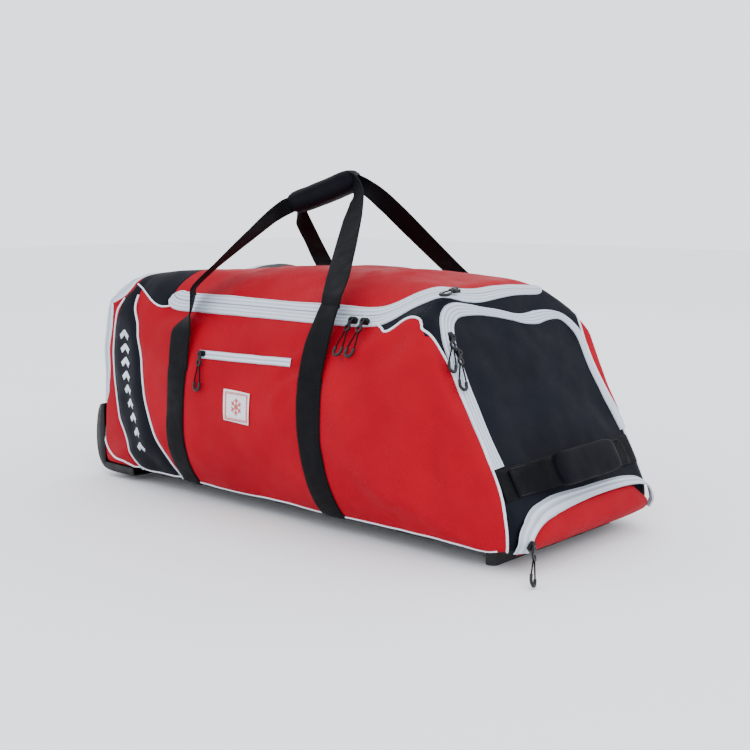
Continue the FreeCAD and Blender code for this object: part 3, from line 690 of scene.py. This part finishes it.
def tube(name, path, radius, body, slot, mat=None, sides=8, on_surface=True, lift=0.4, step=4.0):
    """A round cord along points, laid on the surface or free."""
    line = even_path(path, step)
    if on_surface:
        seats = [near(p) for p in line]
        line = [spot + normal * lift for spot, normal in seats]
        ups = [normal for _, normal in seats]
    else:
        ups = [Vector((0, 0, 1))] * len(line)
    points, faces, uvs = [], [], []
    length = 0.0
    last = None
    for i, spot in enumerate(line):
        ahead = (line[min(i + 1, len(line) - 1)] - line[max(i - 1, 0)]).normalized()
        side = ahead.cross(last if last is not None and not on_surface else ups[i])
        if side.length < 0.1:
            side = ahead.cross(Vector((0, 1, 0)))
        side.normalize()
        up = side.cross(ahead).normalized()
        last = up
        if i:
            length += (spot - line[i - 1]).length
        for k in range(sides):
            turn = 2 * math.pi * k / sides
            points.append(spot + (side * math.cos(turn) + up * math.sin(turn)) * radius)
            uvs.append((length * MM, radius * turn * MM))
    for i in range(len(line) - 1):
        for k in range(sides):
            a = i * sides + k
            b = i * sides + (k + 1) % sides
            faces.append((a, a + sides, b + sides, b))
    faces.append(tuple(range(sides)))
    faces.append(tuple(range(len(points) - 1, len(points) - sides - 1, -1)))
    return make(name, points, faces, body, slot, mat, uvs)


def stitches(name, paths, body, slot, mat, lift=0.3, dash=3.0, gap=1.8, wide=0.8):
    """Dashes of thread along lines on the surface."""
    points, faces = [], []
    for path in paths:
        line = even_path(path, dash + gap)
        for a, b in zip(line[:-1], line[1:]):
            s0, n0 = near(a)
            s1, n1 = near(a + (b - a) * (dash / (dash + gap)))
            run = s1 - s0
            if run.length < 0.2:
                continue
            across = n0.cross(run).normalized() * (wide / 2)
            base = len(points)
            mid = (s0 + s1) / 2 + (n0 + n1) / 2 * (lift + wide * 0.45)
            points.extend([s0 - across + n0 * lift * 0.2, s0 + across + n0 * lift * 0.2,
                           mid + across, mid - across,
                           s1 - across + n1 * lift * 0.2, s1 + across + n1 * lift * 0.2])
            faces.extend([(base, base + 1, base + 2, base + 3), (base + 3, base + 2, base + 5, base + 4)])
    return make(name, points, faces, body, slot, mat)


def ridges(half, count, base, rise, steps=6, edge=0.0):
    """Cross-section of a zip band: lengthwise ridges over a base height."""
    total = count * steps
    out = [(-half, edge)]
    for i in range(total + 1):
        share = i / total
        wave = 0.5 - 0.5 * math.cos(2 * math.pi * share * count)
        out.append((-half + 0.6 + (2 * half - 1.2) * share, base + rise * wave))
    out.append((half, edge))
    return out


FLAT_WEB = [(-22.5, -0.4), (-22.5, 1.7), (-20, 2.3), (-10, 2.5), (0, 2.5), (10, 2.5), (20, 2.3), (22.5, 1.7),
            (22.5, -0.4)]


def open_edge(faces):
    """The points round the edge of a panel, in order."""
    count = {}
    for face in faces:
        for i, j in zip(face, face[1:] + face[:1]):
            count[(i, j)] = count.get((i, j), 0) + 1
    after = {}
    for i, j in count:
        if (j, i) not in count:
            after[i] = j
    start = next(iter(after))
    ring = [start]
    while after.get(ring[-1], start) != start and len(ring) <= len(after):
        ring.append(after[ring[-1]])
    return [Vector(panel_points[i]) for i in ring]


def edge_run(panel, ends):
    """Part of a panel's edge between two places, the shorter way, evened out."""
    ring = open_edge(panels[panel])
    first, last = (min(range(len(ring)), key=lambda i: (ring[i] - Vector(end)).length) for end in ends)
    ring = ring[first:] + ring[:first]
    last = (last - first) % len(ring)
    run = ring[:last + 1] if last < len(ring) / 2 else (ring[:1] + ring[last:][::-1])
    run = run[:-1:5] + [run[-1]]
    for _ in range(2):
        middle = [(a + 2 * b + c) / 4 for a, b, c in zip(run, run[1:], run[2:])]
        run = [run[0]] + middle + [run[-1]]
    return run


# piping along the panel seams, front and rear
for side, label in ((-1, "front"), (1, "rear")):
    tube("piping_a_" + label, side_path(SEAM_A[1:-2] + [(-349, 320)], side), 1.7, "shell", "zip_tape", PIPING)
    tube("piping_b_" + label, side_path(SEAM_B[1:-2] + [(-318, 326)], side), 1.9, "shell", "zip_tape", PIPING)
    tube("piping_shoulder_" + label, side_path(SHOULDER[:-2], side) + edge_run("drop_end_panel", (
        (305, side * 184, 318), (438, side * 168, 29))), 1.9, "shell", "zip_tape", PIPING)
    tube("piping_top_left_" + label, side_path(TOP_LEFT[1:] + [(-205, 312), (-170, 309)], side), 1.6, "shell",
         "zip_tape", PIPING)
    tube("piping_base_" + label, side_path([(x, 31) for x in (-338, -300, -200, 0, 200, 340, 425)], side), 1.4,
         "shell", "zip_tape", PIPING)
    tube("piping_wheel_" + label,
         [(-436, side * 170, 126), (-435, side * 172, 100), (-430, side * 174, 76), (-416, side * 178, 55),
          (-395, side * 182, 43), (-366, side * 184, 37), (-338, side * 180, 31)],
         1.9, "shell", "zip_tape", PIPING)
    strip("base_edge_" + label, side_path([(x, 27) for x in (-330, -200, 0, 200, 340, 426)], side),
          [(-5, 0.1), (-4, 0.9), (4, 0.9), (5, 0.1)], "shell", "black_fabric")

# ---------------------------------------------------------------- zips
zip_line = edge_run("lid_panel", ((-237, -166, 330), (286, 118, 350)))
HALF_ZIP = [(0.4, 0.2), (0.4, 2.2), (1.6, 3.0), (3.0, 2.2), (4.0, 3.2), (6.5, 4.0), (9.0, 3.2), (10.0, 3.4),
            (12.5, 4.4), (15.0, 3.6), (16.2, 2.4), (17.5, 1.6), (18.2, 0.1)]


def share_along(places, shares):
    """Width of a band, as a share of its full width, from its start to its end."""
    return lambda t: float(np.interp(t, places, shares))


LID_ZIP_SHARE = share_along([0, 0.6, 0.8, 1], [1, 1, 0.75, 0.5])
strip("lid_zip_lower", zip_line, [(-x, h) for x, h in reversed(HALF_ZIP)], "shell", "zip_tape",
      replaces=["lid_zip_lower_tape"], taper=14, width=LID_ZIP_SHARE)
strip("lid_zip_upper", zip_line, HALF_ZIP, "lid", "zip_tape", replaces=["lid_zip_upper_tape"], taper=14,
      width=LID_ZIP_SHARE)

FRONT_ZIP = [(x, 248.5 + (x + 108) * 0.018) for x in (-115, -65, -15, 35, 81)]
strip("front_pocket_zip_band", side_path(FRONT_ZIP, -1),
      [(-6.5, 0.1), (-6.3, 1.6), (-4, 1.9), (-1.2, 1.7), (0, 0.9), (1.2, 1.7), (4, 1.9), (6.3, 1.6), (6.5, 0.1)],
      "shell", "zip_tape", replaces=["front_pocket_zip"], step=4)


def slope(y, z, stand=0.0):
    return Vector((drop_x(z), y, z)) + N_DROP * stand


END_ZIP = [(-155, 136), (-157, 171), (-156, 228), (-154, 274), (-148, 302), (-132, 324), (-106, 335), (-70, 334),
           (-20, 326), (28, 315), (60, 313), (104, 315), (136, 310), (156, 294), (163, 276), (162, 243), (163, 200),
           (166, 169), (169, 143)]
strip("end_pocket_zip_band", [slope(y, z) for y, z in END_ZIP], ridges(13, 4, 1.2, 2.0), "shell", "zip_tape",
      replaces=["end_pocket_zip"], step=4,
      width=share_along([0, 0.34, 0.44, 0.54, 0.62, 0.7, 0.8, 1], [1, 1, 0.55, 0.5, 0.85, 0.5, 0.7, 0.75]))

WHEEL_HALF = [(-436, 172, 132), (-424, 182, 165), (-413, 188, 200), (-407, 188, 236), (-396, 184, 270),
              (-381, 176, 302), (-360, 164, 330), (-344, 130, 350), (-336, 66, 362)]
WHEEL_ZIP = [(x, -y, z) for x, y, z in WHEEL_HALF] + [(-334, 0, 366)] + WHEEL_HALF[::-1]
strip("wheel_end_zip_band", WHEEL_ZIP, ridges(17, 4, 1.3, 2.2), "shell", "zip_tape", replaces=["wheel_end_zip"],
      step=5, taper=45)


# ---------------------------------------------------------------- low pocket on the drop end
def low_pocket():
    """The pocket's cloth, bulging out from the drop end."""
    points, faces = [], []
    ys = np.linspace(-159, 164, 67)
    ts = np.linspace(0, 1, 19)
    for y in ys:
        end = math.sqrt(max(0.0, 1 - (abs(y) / 168) ** 6))
        high = 58 * (0.55 + 0.45 * (1 - smoothstep(abs(y), 100, 166))) * (0.3 + 0.7 * end)
        for t in ts:
            z = 26 + high * t
            back = drop_x(z) if z > 70 else float(np.interp(z, [25, 31, 45, 70], [438, 445, 452, 448]))
            puff = (16 * math.sin(math.pi * min(1, 0.18 + 0.82 * t)) ** 0.7) * end
            puff += 1.5 * noise.noise(Vector((y / 40, z / 25, 3)))
            x = back + 0.6 + max(0.0, puff) * (1 - smoothstep(t, 0.86, 1.0) * 0.9)
            points.append((min(x, 467), y, z))
    n = len(ts)
    for i in range(len(ys) - 1):
        for j in range(n - 1):
            a = i * n + j
            faces.append((a, a + n, a + n + 1, a + 1))
    return make("bottom_pocket_cloth", points, faces, "shell", "red_fabric", replaces=["bottom_pocket_panel"],
                thick=2.0)


low_pocket()
LOW_ZIP = [(-158, 30), (-158, 46), (-150, 58), (-130, 70), (-104, 77), (-60, 81), (0, 82), (60, 82), (110, 80),
           (146, 74), (160, 62), (164, 44), (164, 32)]


def pocket_zip(half):
    """The zip band along the low pocket's top, wider at the front end."""
    points, uvs = [], []
    share = share_along([0, 0.3, 0.5, 1], [1.1, 1.1, 0.7, 0.6])
    path = even_path([(0, y, z) for y, z in LOW_ZIP], 4.0)
    shape = ridges(half, 3, 1.0, 2.0)
    length = 0.0
    for i, p in enumerate(path):
        ahead = path[min(i + 1, len(path) - 1)] - path[max(i - 1, 0)]
        across = Vector((0, -ahead.z, ahead.y)).normalized() * share(i / len(path))
        if i:
            length += (p - path[i - 1]).length
        for offset, height in shape:
            q = p + across * offset
            inside = 1 - smoothstep(offset, -half, half)
            base = drop_x(q.z)
            if q.z <= 70:
                base = float(np.interp(q.z, [25, 31, 45, 70], [440, 446, 453, 449]))
            points.append((min(base + 1.5 + height + 11 * float(inside), 469), q.y, q.z))
            uvs.append((length * MM, offset * MM))
    make("bottom_pocket_zip_band", points, sheet_faces(len(path), len(shape)), "shell", "zip_tape", uvs=uvs,
         replaces=["bottom_pocket_zip"])


pocket_zip(8.0)

# ---------------------------------------------------------------- carry straps
SEWN_TOP = 235.0
STRAPS = {
    "front_left": (-1, -188, -157, -160), "front_right": (-1, 136, 129, 140),
    "rear_left": (1, -205, -215, -220), "rear_right": (1, 98, 95, 92),
}


RIBBON_ACROSS = (-1, -0.9, -0.5, 0, 0.5, 0.9, 1)
RIBBON_RING = [(u, 1) for u in RIBBON_ACROSS] + [(u, -1) for u in reversed(RIBBON_ACROSS)]


def ribbon(name, stations, half, body, replaces=(), step=5.0, thick=2.3):
    """Webbing along stations of (middle, width direction, half width share), with a solid edge."""
    mids = [Vector(s[0]) for s in stations]
    knots = [0.0]
    for a, b in zip(mids[:-1], mids[1:]):
        knots.append(knots[-1] + (b - a).length)
    path = even_path(mids, step)
    widths = [Vector(s[1]).normalized() for s in stations]
    shares = [s[2] for s in stations]
    points, uvs = [], []
    length = 0.0
    total = sum((b - a).length for a, b in zip(path[:-1], path[1:]))
    for i, p in enumerate(path):
        if i:
            length += (p - path[i - 1]).length
        at = length / total * knots[-1]
        w = Vector([float(np.interp(at, knots, [v[k] for v in widths])) for k in range(3)]).normalized()
        share = float(np.interp(at, knots, shares))
        ahead = (path[min(i + 1, len(path) - 1)] - path[max(i - 1, 0)]).normalized()
        n = w.cross(ahead)
        if n.length < 0.05:
            n = Vector((0, 0, 1)).cross(ahead)
        n.normalize()
        curl = (1 - share) * 9
        for u, side in RIBBON_RING:
            edge = 0.75 if abs(u) == 1 else 1.0
            points.append(p + w * (half * share * u) + n * (side * thick / 2 * edge + curl * (u * u - 0.4)))
            uvs.append((length * MM, half * u * MM))
    faces = capped_faces(len(path), len(RIBBON_RING))
    return make(name, points, faces, body, "webbing", uvs=uvs, replaces=replaces)


sewn_nodes = {"front_left": ["front_sewn_straps"], "rear_left": ["rear_sewn_straps"]}
for label, (side, foot_x, sewn_x, pivot_x) in STRAPS.items():
    lean = sewn_x - foot_x
    path = side_path([(foot_x, 28), (foot_x + lean * 0.25, 70), (foot_x + lean * 0.62, 150),
                      (sewn_x, SEWN_TOP)], side)
    strip("sewn_" + label, path, FLAT_WEB, "shell", "webbing", step=5, lift=0.2)
    rows = []
    for shift in (-19.5, 19.5):
        rows.append(side_path([(foot_x + shift, 34), (foot_x + lean * 0.5 + shift, 140),
                               (sewn_x + shift, SEWN_TOP)], side))
    stitches("stitching_" + label, rows, "shell", "webbing", BLACK_THREAD, lift=2.9)
    base, n = near(beside_bag(sewn_x, SEWN_TOP, side))
    start = base + n * 1.6
    low_dir = (1, 0, 0)
    mid_dir = (0.75, side * 0.66, 0) if label == "front_left" else (1, side * 0.15, 0)
    top_dir = (0.62, side * 0.78, 0) if label == "front_left" else (1, side * 0.2, 0)
    top_full = 306 if label == "front_left" else 315
    stations = [
        (start + Vector((0, 0, -14)) + n * 0.3, low_dir, 1.0),
        (start + Vector((0, side * 0.6, 4)), low_dir, 1.0),
        ((sewn_x + (pivot_x - sewn_x) * 0.4, side * (base.y * side - 6), 281), low_dir, 1.0),
        ((pivot_x + (6 if label == "front_left" else 0), side * 203, top_full), mid_dir, 1.0),
        ((pivot_x, side * 190, 338), top_dir, 0.96),
    ]
    ribbon("free_" + label, stations, 22.5, "shell", replaces=sewn_nodes.get(label, ()))

GRIP_PITCH = math.radians(16.0)
GRIP_DIR = Vector((math.cos(GRIP_PITCH), 0, math.sin(GRIP_PITCH)))
GRIP_UP = Vector((-math.sin(GRIP_PITCH), 0, math.cos(GRIP_PITCH)))
GRIP_MID = Vector((-55, 0, 497))
GRIP_HALF = 74.0
LEGS = {
    "front_left": ("front_handle", [
        ((-160, -189, 334), (0.62, -0.78, 0), 0.96), ((-160, -187, 348), (0.62, -0.72, 0.1), 0.9),
        ((-154, -150, 378), (0.72, -0.55, 0.3), 0.9), ((-143, -88, 424), (0.6, -0.3, 0.6), 0.9),
        ((-132, -34, 462), (0.3, -0.1, 0.9), 0.72), ((-120, -10, 477), (-0.2, 0.1, 1), 0.6),
        ((-100, -7, 484), (-0.27, 0, 0.96), 0.55)]),
    "front_right": ("front_handle", [
        ((140, -189, 334), (1, -0.2, 0), 0.96), ((140, -187, 348), (1, -0.15, 0.05), 0.96),
        ((124, -158, 373), (1, 0.0, 0.1), 1.0), ((92, -106, 417), (0.95, 0, 0.1), 0.95),
        ((62, -58, 457), (0.85, 0.1, 0.2), 0.8), ((44, -28, 486), (0.7, 0.2, 0.5), 0.62),
        ((30, -14, 504), (0.2, 0.1, 0.95), 0.62), ((12, -8, 514), (-0.2, 0, 0.98), 0.62),
        ((-10, -7, 509), (-0.27, 0, 0.96), 0.55)]),
    "rear_left": ("rear_handle", [
        ((-220, 189, 334), (1, 0.2, 0), 0.96), ((-220, 187, 348), (1, 0.1, 0.05), 0.96),
        ((-206, 150, 374), (1, 0, 0.1), 0.96), ((-176, 92, 417), (0.95, -0.1, 0.2), 0.9),
        ((-148, 40, 454), (0.8, 0, 0.5), 0.75), ((-126, 12, 474), (0.1, 0, 1), 0.6),
        ((-100, 7, 484), (-0.27, 0, 0.96), 0.55)]),
    "rear_right": ("rear_handle", [
        ((92, 189, 334), (1, 0.2, 0), 0.96), ((92, 187, 348), (1, 0.1, 0.05), 0.96),
        ((80, 156, 376), (1, 0, 0.1), 0.96), ((62, 100, 426), (0.95, 0, 0.2), 0.92),
        ((44, 48, 474), (0.8, 0, 0.5), 0.75), ((30, 16, 500), (0.3, 0, 0.95), 0.62),
        ((8, 8, 512), (-0.2, 0, 0.98), 0.6), ((-10, 7, 509), (-0.27, 0, 0.96), 0.55)]),
}
leg_nodes = {"front_left": ["front_handle_webbing"], "rear_left": ["rear_handle_webbing"]}
for label, (body, stations) in LEGS.items():
    side = -1 if body == "front_handle" else 1
    leg = ribbon("leg_" + label, stations, 22.5, None, replaces=leg_nodes.get(label, ()))
    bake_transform(leg)


def grip_pad():
    """Padded wrap with rounded ends, a little fuller at the top, its flap's edge standing proud."""
    points, uvs = [], []
    rows, ring = 40, 40
    for i in range(rows + 1):
        t = -1 + 2 * i / rows
        end = (1 - abs(t) ** 9) ** 0.5
        full = 0.30 + 0.70 * end
        mid = GRIP_MID + GRIP_DIR * (t * GRIP_HALF) + GRIP_UP * (-1.5 * (1 - t * t))
        for k in range(ring):
            turn = 2 * math.pi * k / ring
            c, s = math.cos(turn), math.sin(turn)
            wide = 22 * math.copysign(abs(c) ** 0.75, c)
            high = 17.5 * math.copysign(abs(s) ** 0.7, s)
            groove = 1.0
            for mark in (0.9, 2.2, 4.1, 5.3):
                groove -= 0.055 * math.exp(-((turn - mark) / 0.09) ** 2)
            lump = 1 + 0.03 * noise.noise(Vector((t * 3, c, s)))
            flap = 1.5 if 0.25 < turn < 2.9 and t < 0.94 else 0.0
            scale = full * groove * lump
            outward = Vector((0, -1, 0)) * (wide * scale + flap * c)
            points.append(mid + outward + GRIP_UP * (high * scale + flap * s))
            uvs.append((t, turn))
    faces = ring_faces(rows + 1, ring)
    for start, direction in ((0, 1), (rows * ring, -1)):
        faces.append(tuple(range(start, start + ring))[::direction])
    pad = make("grip_wrap", points, faces, "front_handle", "padding", uvs=uvs, replaces=["grip_pad"])


grip_pad()


# ---------------------------------------------------------------- tow handle
def tow_band_point(y, z, stand):
    """A place above the bag's surface on the drop end."""
    spot, n = near(slope(y, z))
    return spot + n * stand


strip("tow_band", [slope(y, 115.5) for y in (-166, -120, -60, 0, 60, 120, 166)],
      [(-22.5, 0.1), (-22.3, 1.8), (-18, 2.2), (0, 2.3), (18, 2.2), (22.3, 1.8), (22.5, 0.1)], "shell", "webbing",
      replaces=["tow_webbing"])
ARCH_SHARE = 0.84
ARCH_SEWN = ((142, 3.6), (112, 3.8))
ARCH_FREE = ((-92, 113, 14), (-74, 112, 25), (0, 112, 27), (74, 112, 25), (92, 113, 14))
arch_spots = [tow_band_point(-y, 113, stand) for y, stand in ARCH_SEWN]
arch_spots += [slope(*place) for place in ARCH_FREE]
arch_spots += [tow_band_point(y, 113, stand) for y, stand in reversed(ARCH_SEWN)]
arch = [(spot, UP_DROP, ARCH_SHARE) for spot in arch_spots]
ribbon("tow_arch", arch, 22.5, "shell")


def tow_pad():
    """Padded sleeve over the middle of the tow handle."""
    points = []
    rows, ring = 36, 28
    for i in range(rows + 1):
        t = -1 + 2 * i / rows
        full = 0.35 + 0.65 * (1 - abs(t) ** 10) ** 0.5
        mid = slope(t * 74 + 2, 112, 27)
        for k in range(ring):
            turn = 2 * math.pi * k / ring
            c, s = math.cos(turn), math.sin(turn)
            high = 24 * math.copysign(abs(c) ** 0.35, c) * full
            deep = 10 * math.copysign(abs(s) ** 0.4, s) * full
            deep *= 1 + 0.05 * noise.noise(Vector((t * 4, c, s)))
            points.append(mid + UP_DROP * high + N_DROP * deep)
    pad = make("tow_pad_cover", points, capped_faces(rows + 1, ring), "shell", "padding",
               replaces=["tow_handle_pad"])


tow_pad()


def stitch_box(y0, y1, z0, z1):
    a, b, c, d = slope(y0, z0), slope(y1, z0), slope(y1, z1), slope(y0, z1)
    return [[a, b], [b, c], [c, d], [d, a], [a, c], [b, d]]


stitches("tow_stitching", stitch_box(-136, -104, 98, 131) + stitch_box(136, 104, 98, 131), "shell", "webbing",
         BLACK_THREAD, lift=5.0, wide=1.0)

# ---------------------------------------------------------------- patch and plain marks
PATCH = [(-50, 178), (-21, 177.5), (9, 176.5)]
PATCH_PROFILE = [(-24, 0.1), (-23.6, 1.3), (-12, 1.4), (0, 1.4), (12, 1.4), (23.6, 1.3), (24, 0.1)]
strip("patch", side_path(PATCH, -1), PATCH_PROFILE, "shell", "patch_fabric", replaces=["emblem_patch"], step=4)


def mark(name, line, wide, lift, mat, body="shell", slot="patch_fabric"):
    return strip(name, line, [(-wide, 0.0), (-wide, lift), (wide, lift), (wide, 0.0)], body, slot, mat, step=3)


for i, inset in enumerate((2.6, 4.6)):
    x0, x1, z0, z1 = -48 + inset, 8 - inset, 154 + inset, 201 - inset
    corners = [(x0, z0), (x1, z0), (x1, z1), (x0, z1), (x0, z0)]
    for j, (a, b) in enumerate(zip(corners, corners[1:])):
        mark(f"patch_border_{i}_{j}", side_path([a, b], -1), 0.45, 1.8, RED_THREAD)
for i in range(3):
    turn = math.radians(30 + 60 * i)
    dx, dz = 13 * math.cos(turn), 13 * math.sin(turn)
    arm = side_path([(-20 - dx, 177.5 - dz), (-20 + dx, 177.5 + dz)], -1)
    mark(f"patch_star_{i}", arm, 1.1, 1.9, RED_THREAD)
    for j, end in enumerate((-1, 1)):
        for k, lean in enumerate((-0.9, 0.9)):
            ax, az = -20 + end * dx * 0.55, 177.5 + end * dz * 0.55
            bx = ax + end * 5 * math.cos(turn + lean)
            bz = az + end * 5 * math.sin(turn + lean)
            mark(f"patch_tip_{i}_{j}_{k}", side_path([(ax, az), (bx, bz)], -1), 0.8, 1.9, RED_THREAD)

for i in range(9):
    z = 262 - 23 * i
    x = sum(float(np.interp(z, [q[1] for q in seam], [q[0] for q in seam])) for seam in (SEAM_A, SEAM_B)) / 2
    reach = 15 - 0.6 * i
    for side in (-1, 1):
        for end in (-1, 1):
            line = side_path([(x - end, z + 4), (x + end * reach, z - 6)], side)
            mark(f"band_chevron_{i}_{side + 1}_{end + 1}", line, 4.2, 1.0, PALE_PRINT, slot="black_fabric")


# ---------------------------------------------------------------- kick plate
OVER_WHEELS = 15.5
WHEEL_Y = 115


def kick_plate():
    """Plate close round the wheel end's foot, fuller over the wheels."""
    outer = [(-435, 127), (-441, 117), (-446, 98), (-449, 74), (-448, 50), (-442, 30), (-428, 17), (-400, 13.5),
             (-346, 13.5)]
    line = even_path([(x, 0, z) for x, z in outer], 5.0)
    ys = [-175.5] + list(np.linspace(-175, 175, 71)) + [175.5]
    points = []
    for k, y in enumerate(ys):
        over = OVER_WHEELS * math.exp(-((abs(y) - WHEEL_Y) / 20) ** 4)
        for p in line:
            share = smoothstep(p.z, 125, 95) if p.z > 60 else 1.0
            x = p.x - over * float(share) * (1 if p.x < -430 else 0)
            if k in (0, len(ys) - 1):
                x, z = max(p.x, -426), max(p.z, 26)
            else:
                z = p.z
            points.append((x, y, z))
    slot = next(p["material_slot"] for p in frame["record"]["subparts"] if p["node"] == "kick_plate")
    make("kick_plate_shell", points, sheet_faces(len(ys), len(line)), "shell", slot, replaces=["kick_plate"],
         thick=2.5)


kick_plate()

# ---------------------------------------------------------------- zip pulls: tab, cord loop and clasp
HANG = {
    "pocket": (0, -0.15, -1), "lid_a": (0, -0.66, -1), "lid_b": (0, -0.66, -1), "lid_c": (0.36, -0.92, -0.1),
    "end_a": (DROP_RUN, -0.65 * 1.1461, -1.0), "end_b": (DROP_RUN, -0.45 * 1.1461, -1.0),
    "low": (0.42, -0.66, -0.62), "wheel_end": (-0.36, 0, -1),
}
CLASP_REACH = 31.0
CLASP_BEND = 6.3
CORD_LEG = [(-2.0, 0.0), (-3.8, 9.0), (-5.6, 19.0), (-CLASP_BEND, 26.0)]
CORD_BEND = [(-CLASP_BEND * math.cos(math.pi * i / 6), CLASP_REACH + CLASP_BEND * math.sin(math.pi * i / 6))
             for i in range(7)]
CORD_ROUTE = CORD_LEG + CORD_BEND + [(-a, b) for a, b in reversed(CORD_LEG)]
CORD_START = 21.0
CORD_R = 1.1


def pull(name):
    joint = JOINTS[name + "_pull_swing"]
    hinge = Vector(joint["pos_m"]) / MM
    w = Vector(joint["axis"]).normalized()
    d = Vector(HANG[name])
    d = (d - w * d.dot(w)).normalized()
    n = w.cross(d).normalized()
    body = name + "_pull"

    def at(a, b, c=0.0):
        return hinge + w * a + d * b + n * c

    points, faces = [], []

    def plate(outline, half):
        base = len(points)
        for c in (half, -half):
            points.extend(at(a, b, c) for a, b in outline)
        m = len(outline) // 2
        for i in range(m):
            j = (i + 1) % m
            o0, o1, i0, i1 = base + i, base + j, base + m + i, base + m + j
            q = 2 * m
            faces.extend([(o0, o1, i1, i0), (o1 + q, o0 + q, i0 + q, i1 + q), (o1, o0, o0 + q, o1 + q),
                          (i0, i1, i1 + q, i0 + q)])

    turns = [2 * math.pi * k / 24 for k in range(24)]
    for centre, outer, inner in ((1.8, 4.2, 1.9), (15.2, 5.4, 2.9)):
        plate([(outer * math.cos(t), centre + outer * 1.08 * math.sin(t)) for t in turns]
              + [(inner * math.cos(t), centre + inner * math.sin(t)) for t in turns], 1.3)
    plate([(2.7 * sx, b) for sx, b in ((1, 4.6), (1, 11.0), (-1, 11.0), (-1, 4.6))]
          + [(0.2 * sx, b) for sx, b in ((1, 7.6), (1, 7.9), (-1, 7.9), (-1, 7.6))], 1.1)
    tab = make("tab_" + name, points, faces, body, "pull_plastic", smooth=False, replaces=["pull_" + name])
    bevel = tab.modifiers.new("edges", "BEVEL")
    bevel.width = 0.3 * MM
    bevel.segments = 2

    curve = bpy.data.curves.new("cord_loop_" + name, "CURVE")
    curve.dimensions = "3D"
    curve.bevel_depth = CORD_R * MM
    curve.bevel_resolution = 3
    spline = curve.splines.new("NURBS")
    spline.points.add(len(CORD_ROUTE) - 1)
    for point, (a, b) in zip(spline.points, CORD_ROUTE):
        point.co = (*(at(a, CORD_START + b) * MM), 1)
    spline.order_u = 3
    spline.use_endpoint_u = True
    spline.resolution_u = 8
    loop = bpy.data.objects.new("cord_loop_" + name, curve)
    bpy.context.scene.collection.objects.link(loop)
    curve.materials.append(MATS["cord"])
    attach(loop, body)
    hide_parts("cord_" + name)

    middle = CORD_START + CLASP_REACH
    hook = [at(-6.2, middle - 6.5)]
    hook.extend(at(-6.2 * math.cos(t), middle + 6.2 * math.sin(t)) for t in np.linspace(0, math.pi, 15))
    hook.append(at(6.2, middle - 6.5))
    clasp = tube("clasp_" + name, hook, 2.2, body, "pull_plastic", on_surface=False, sides=10, step=1.5)


for pull_name in HANG:
    pull(pull_name)
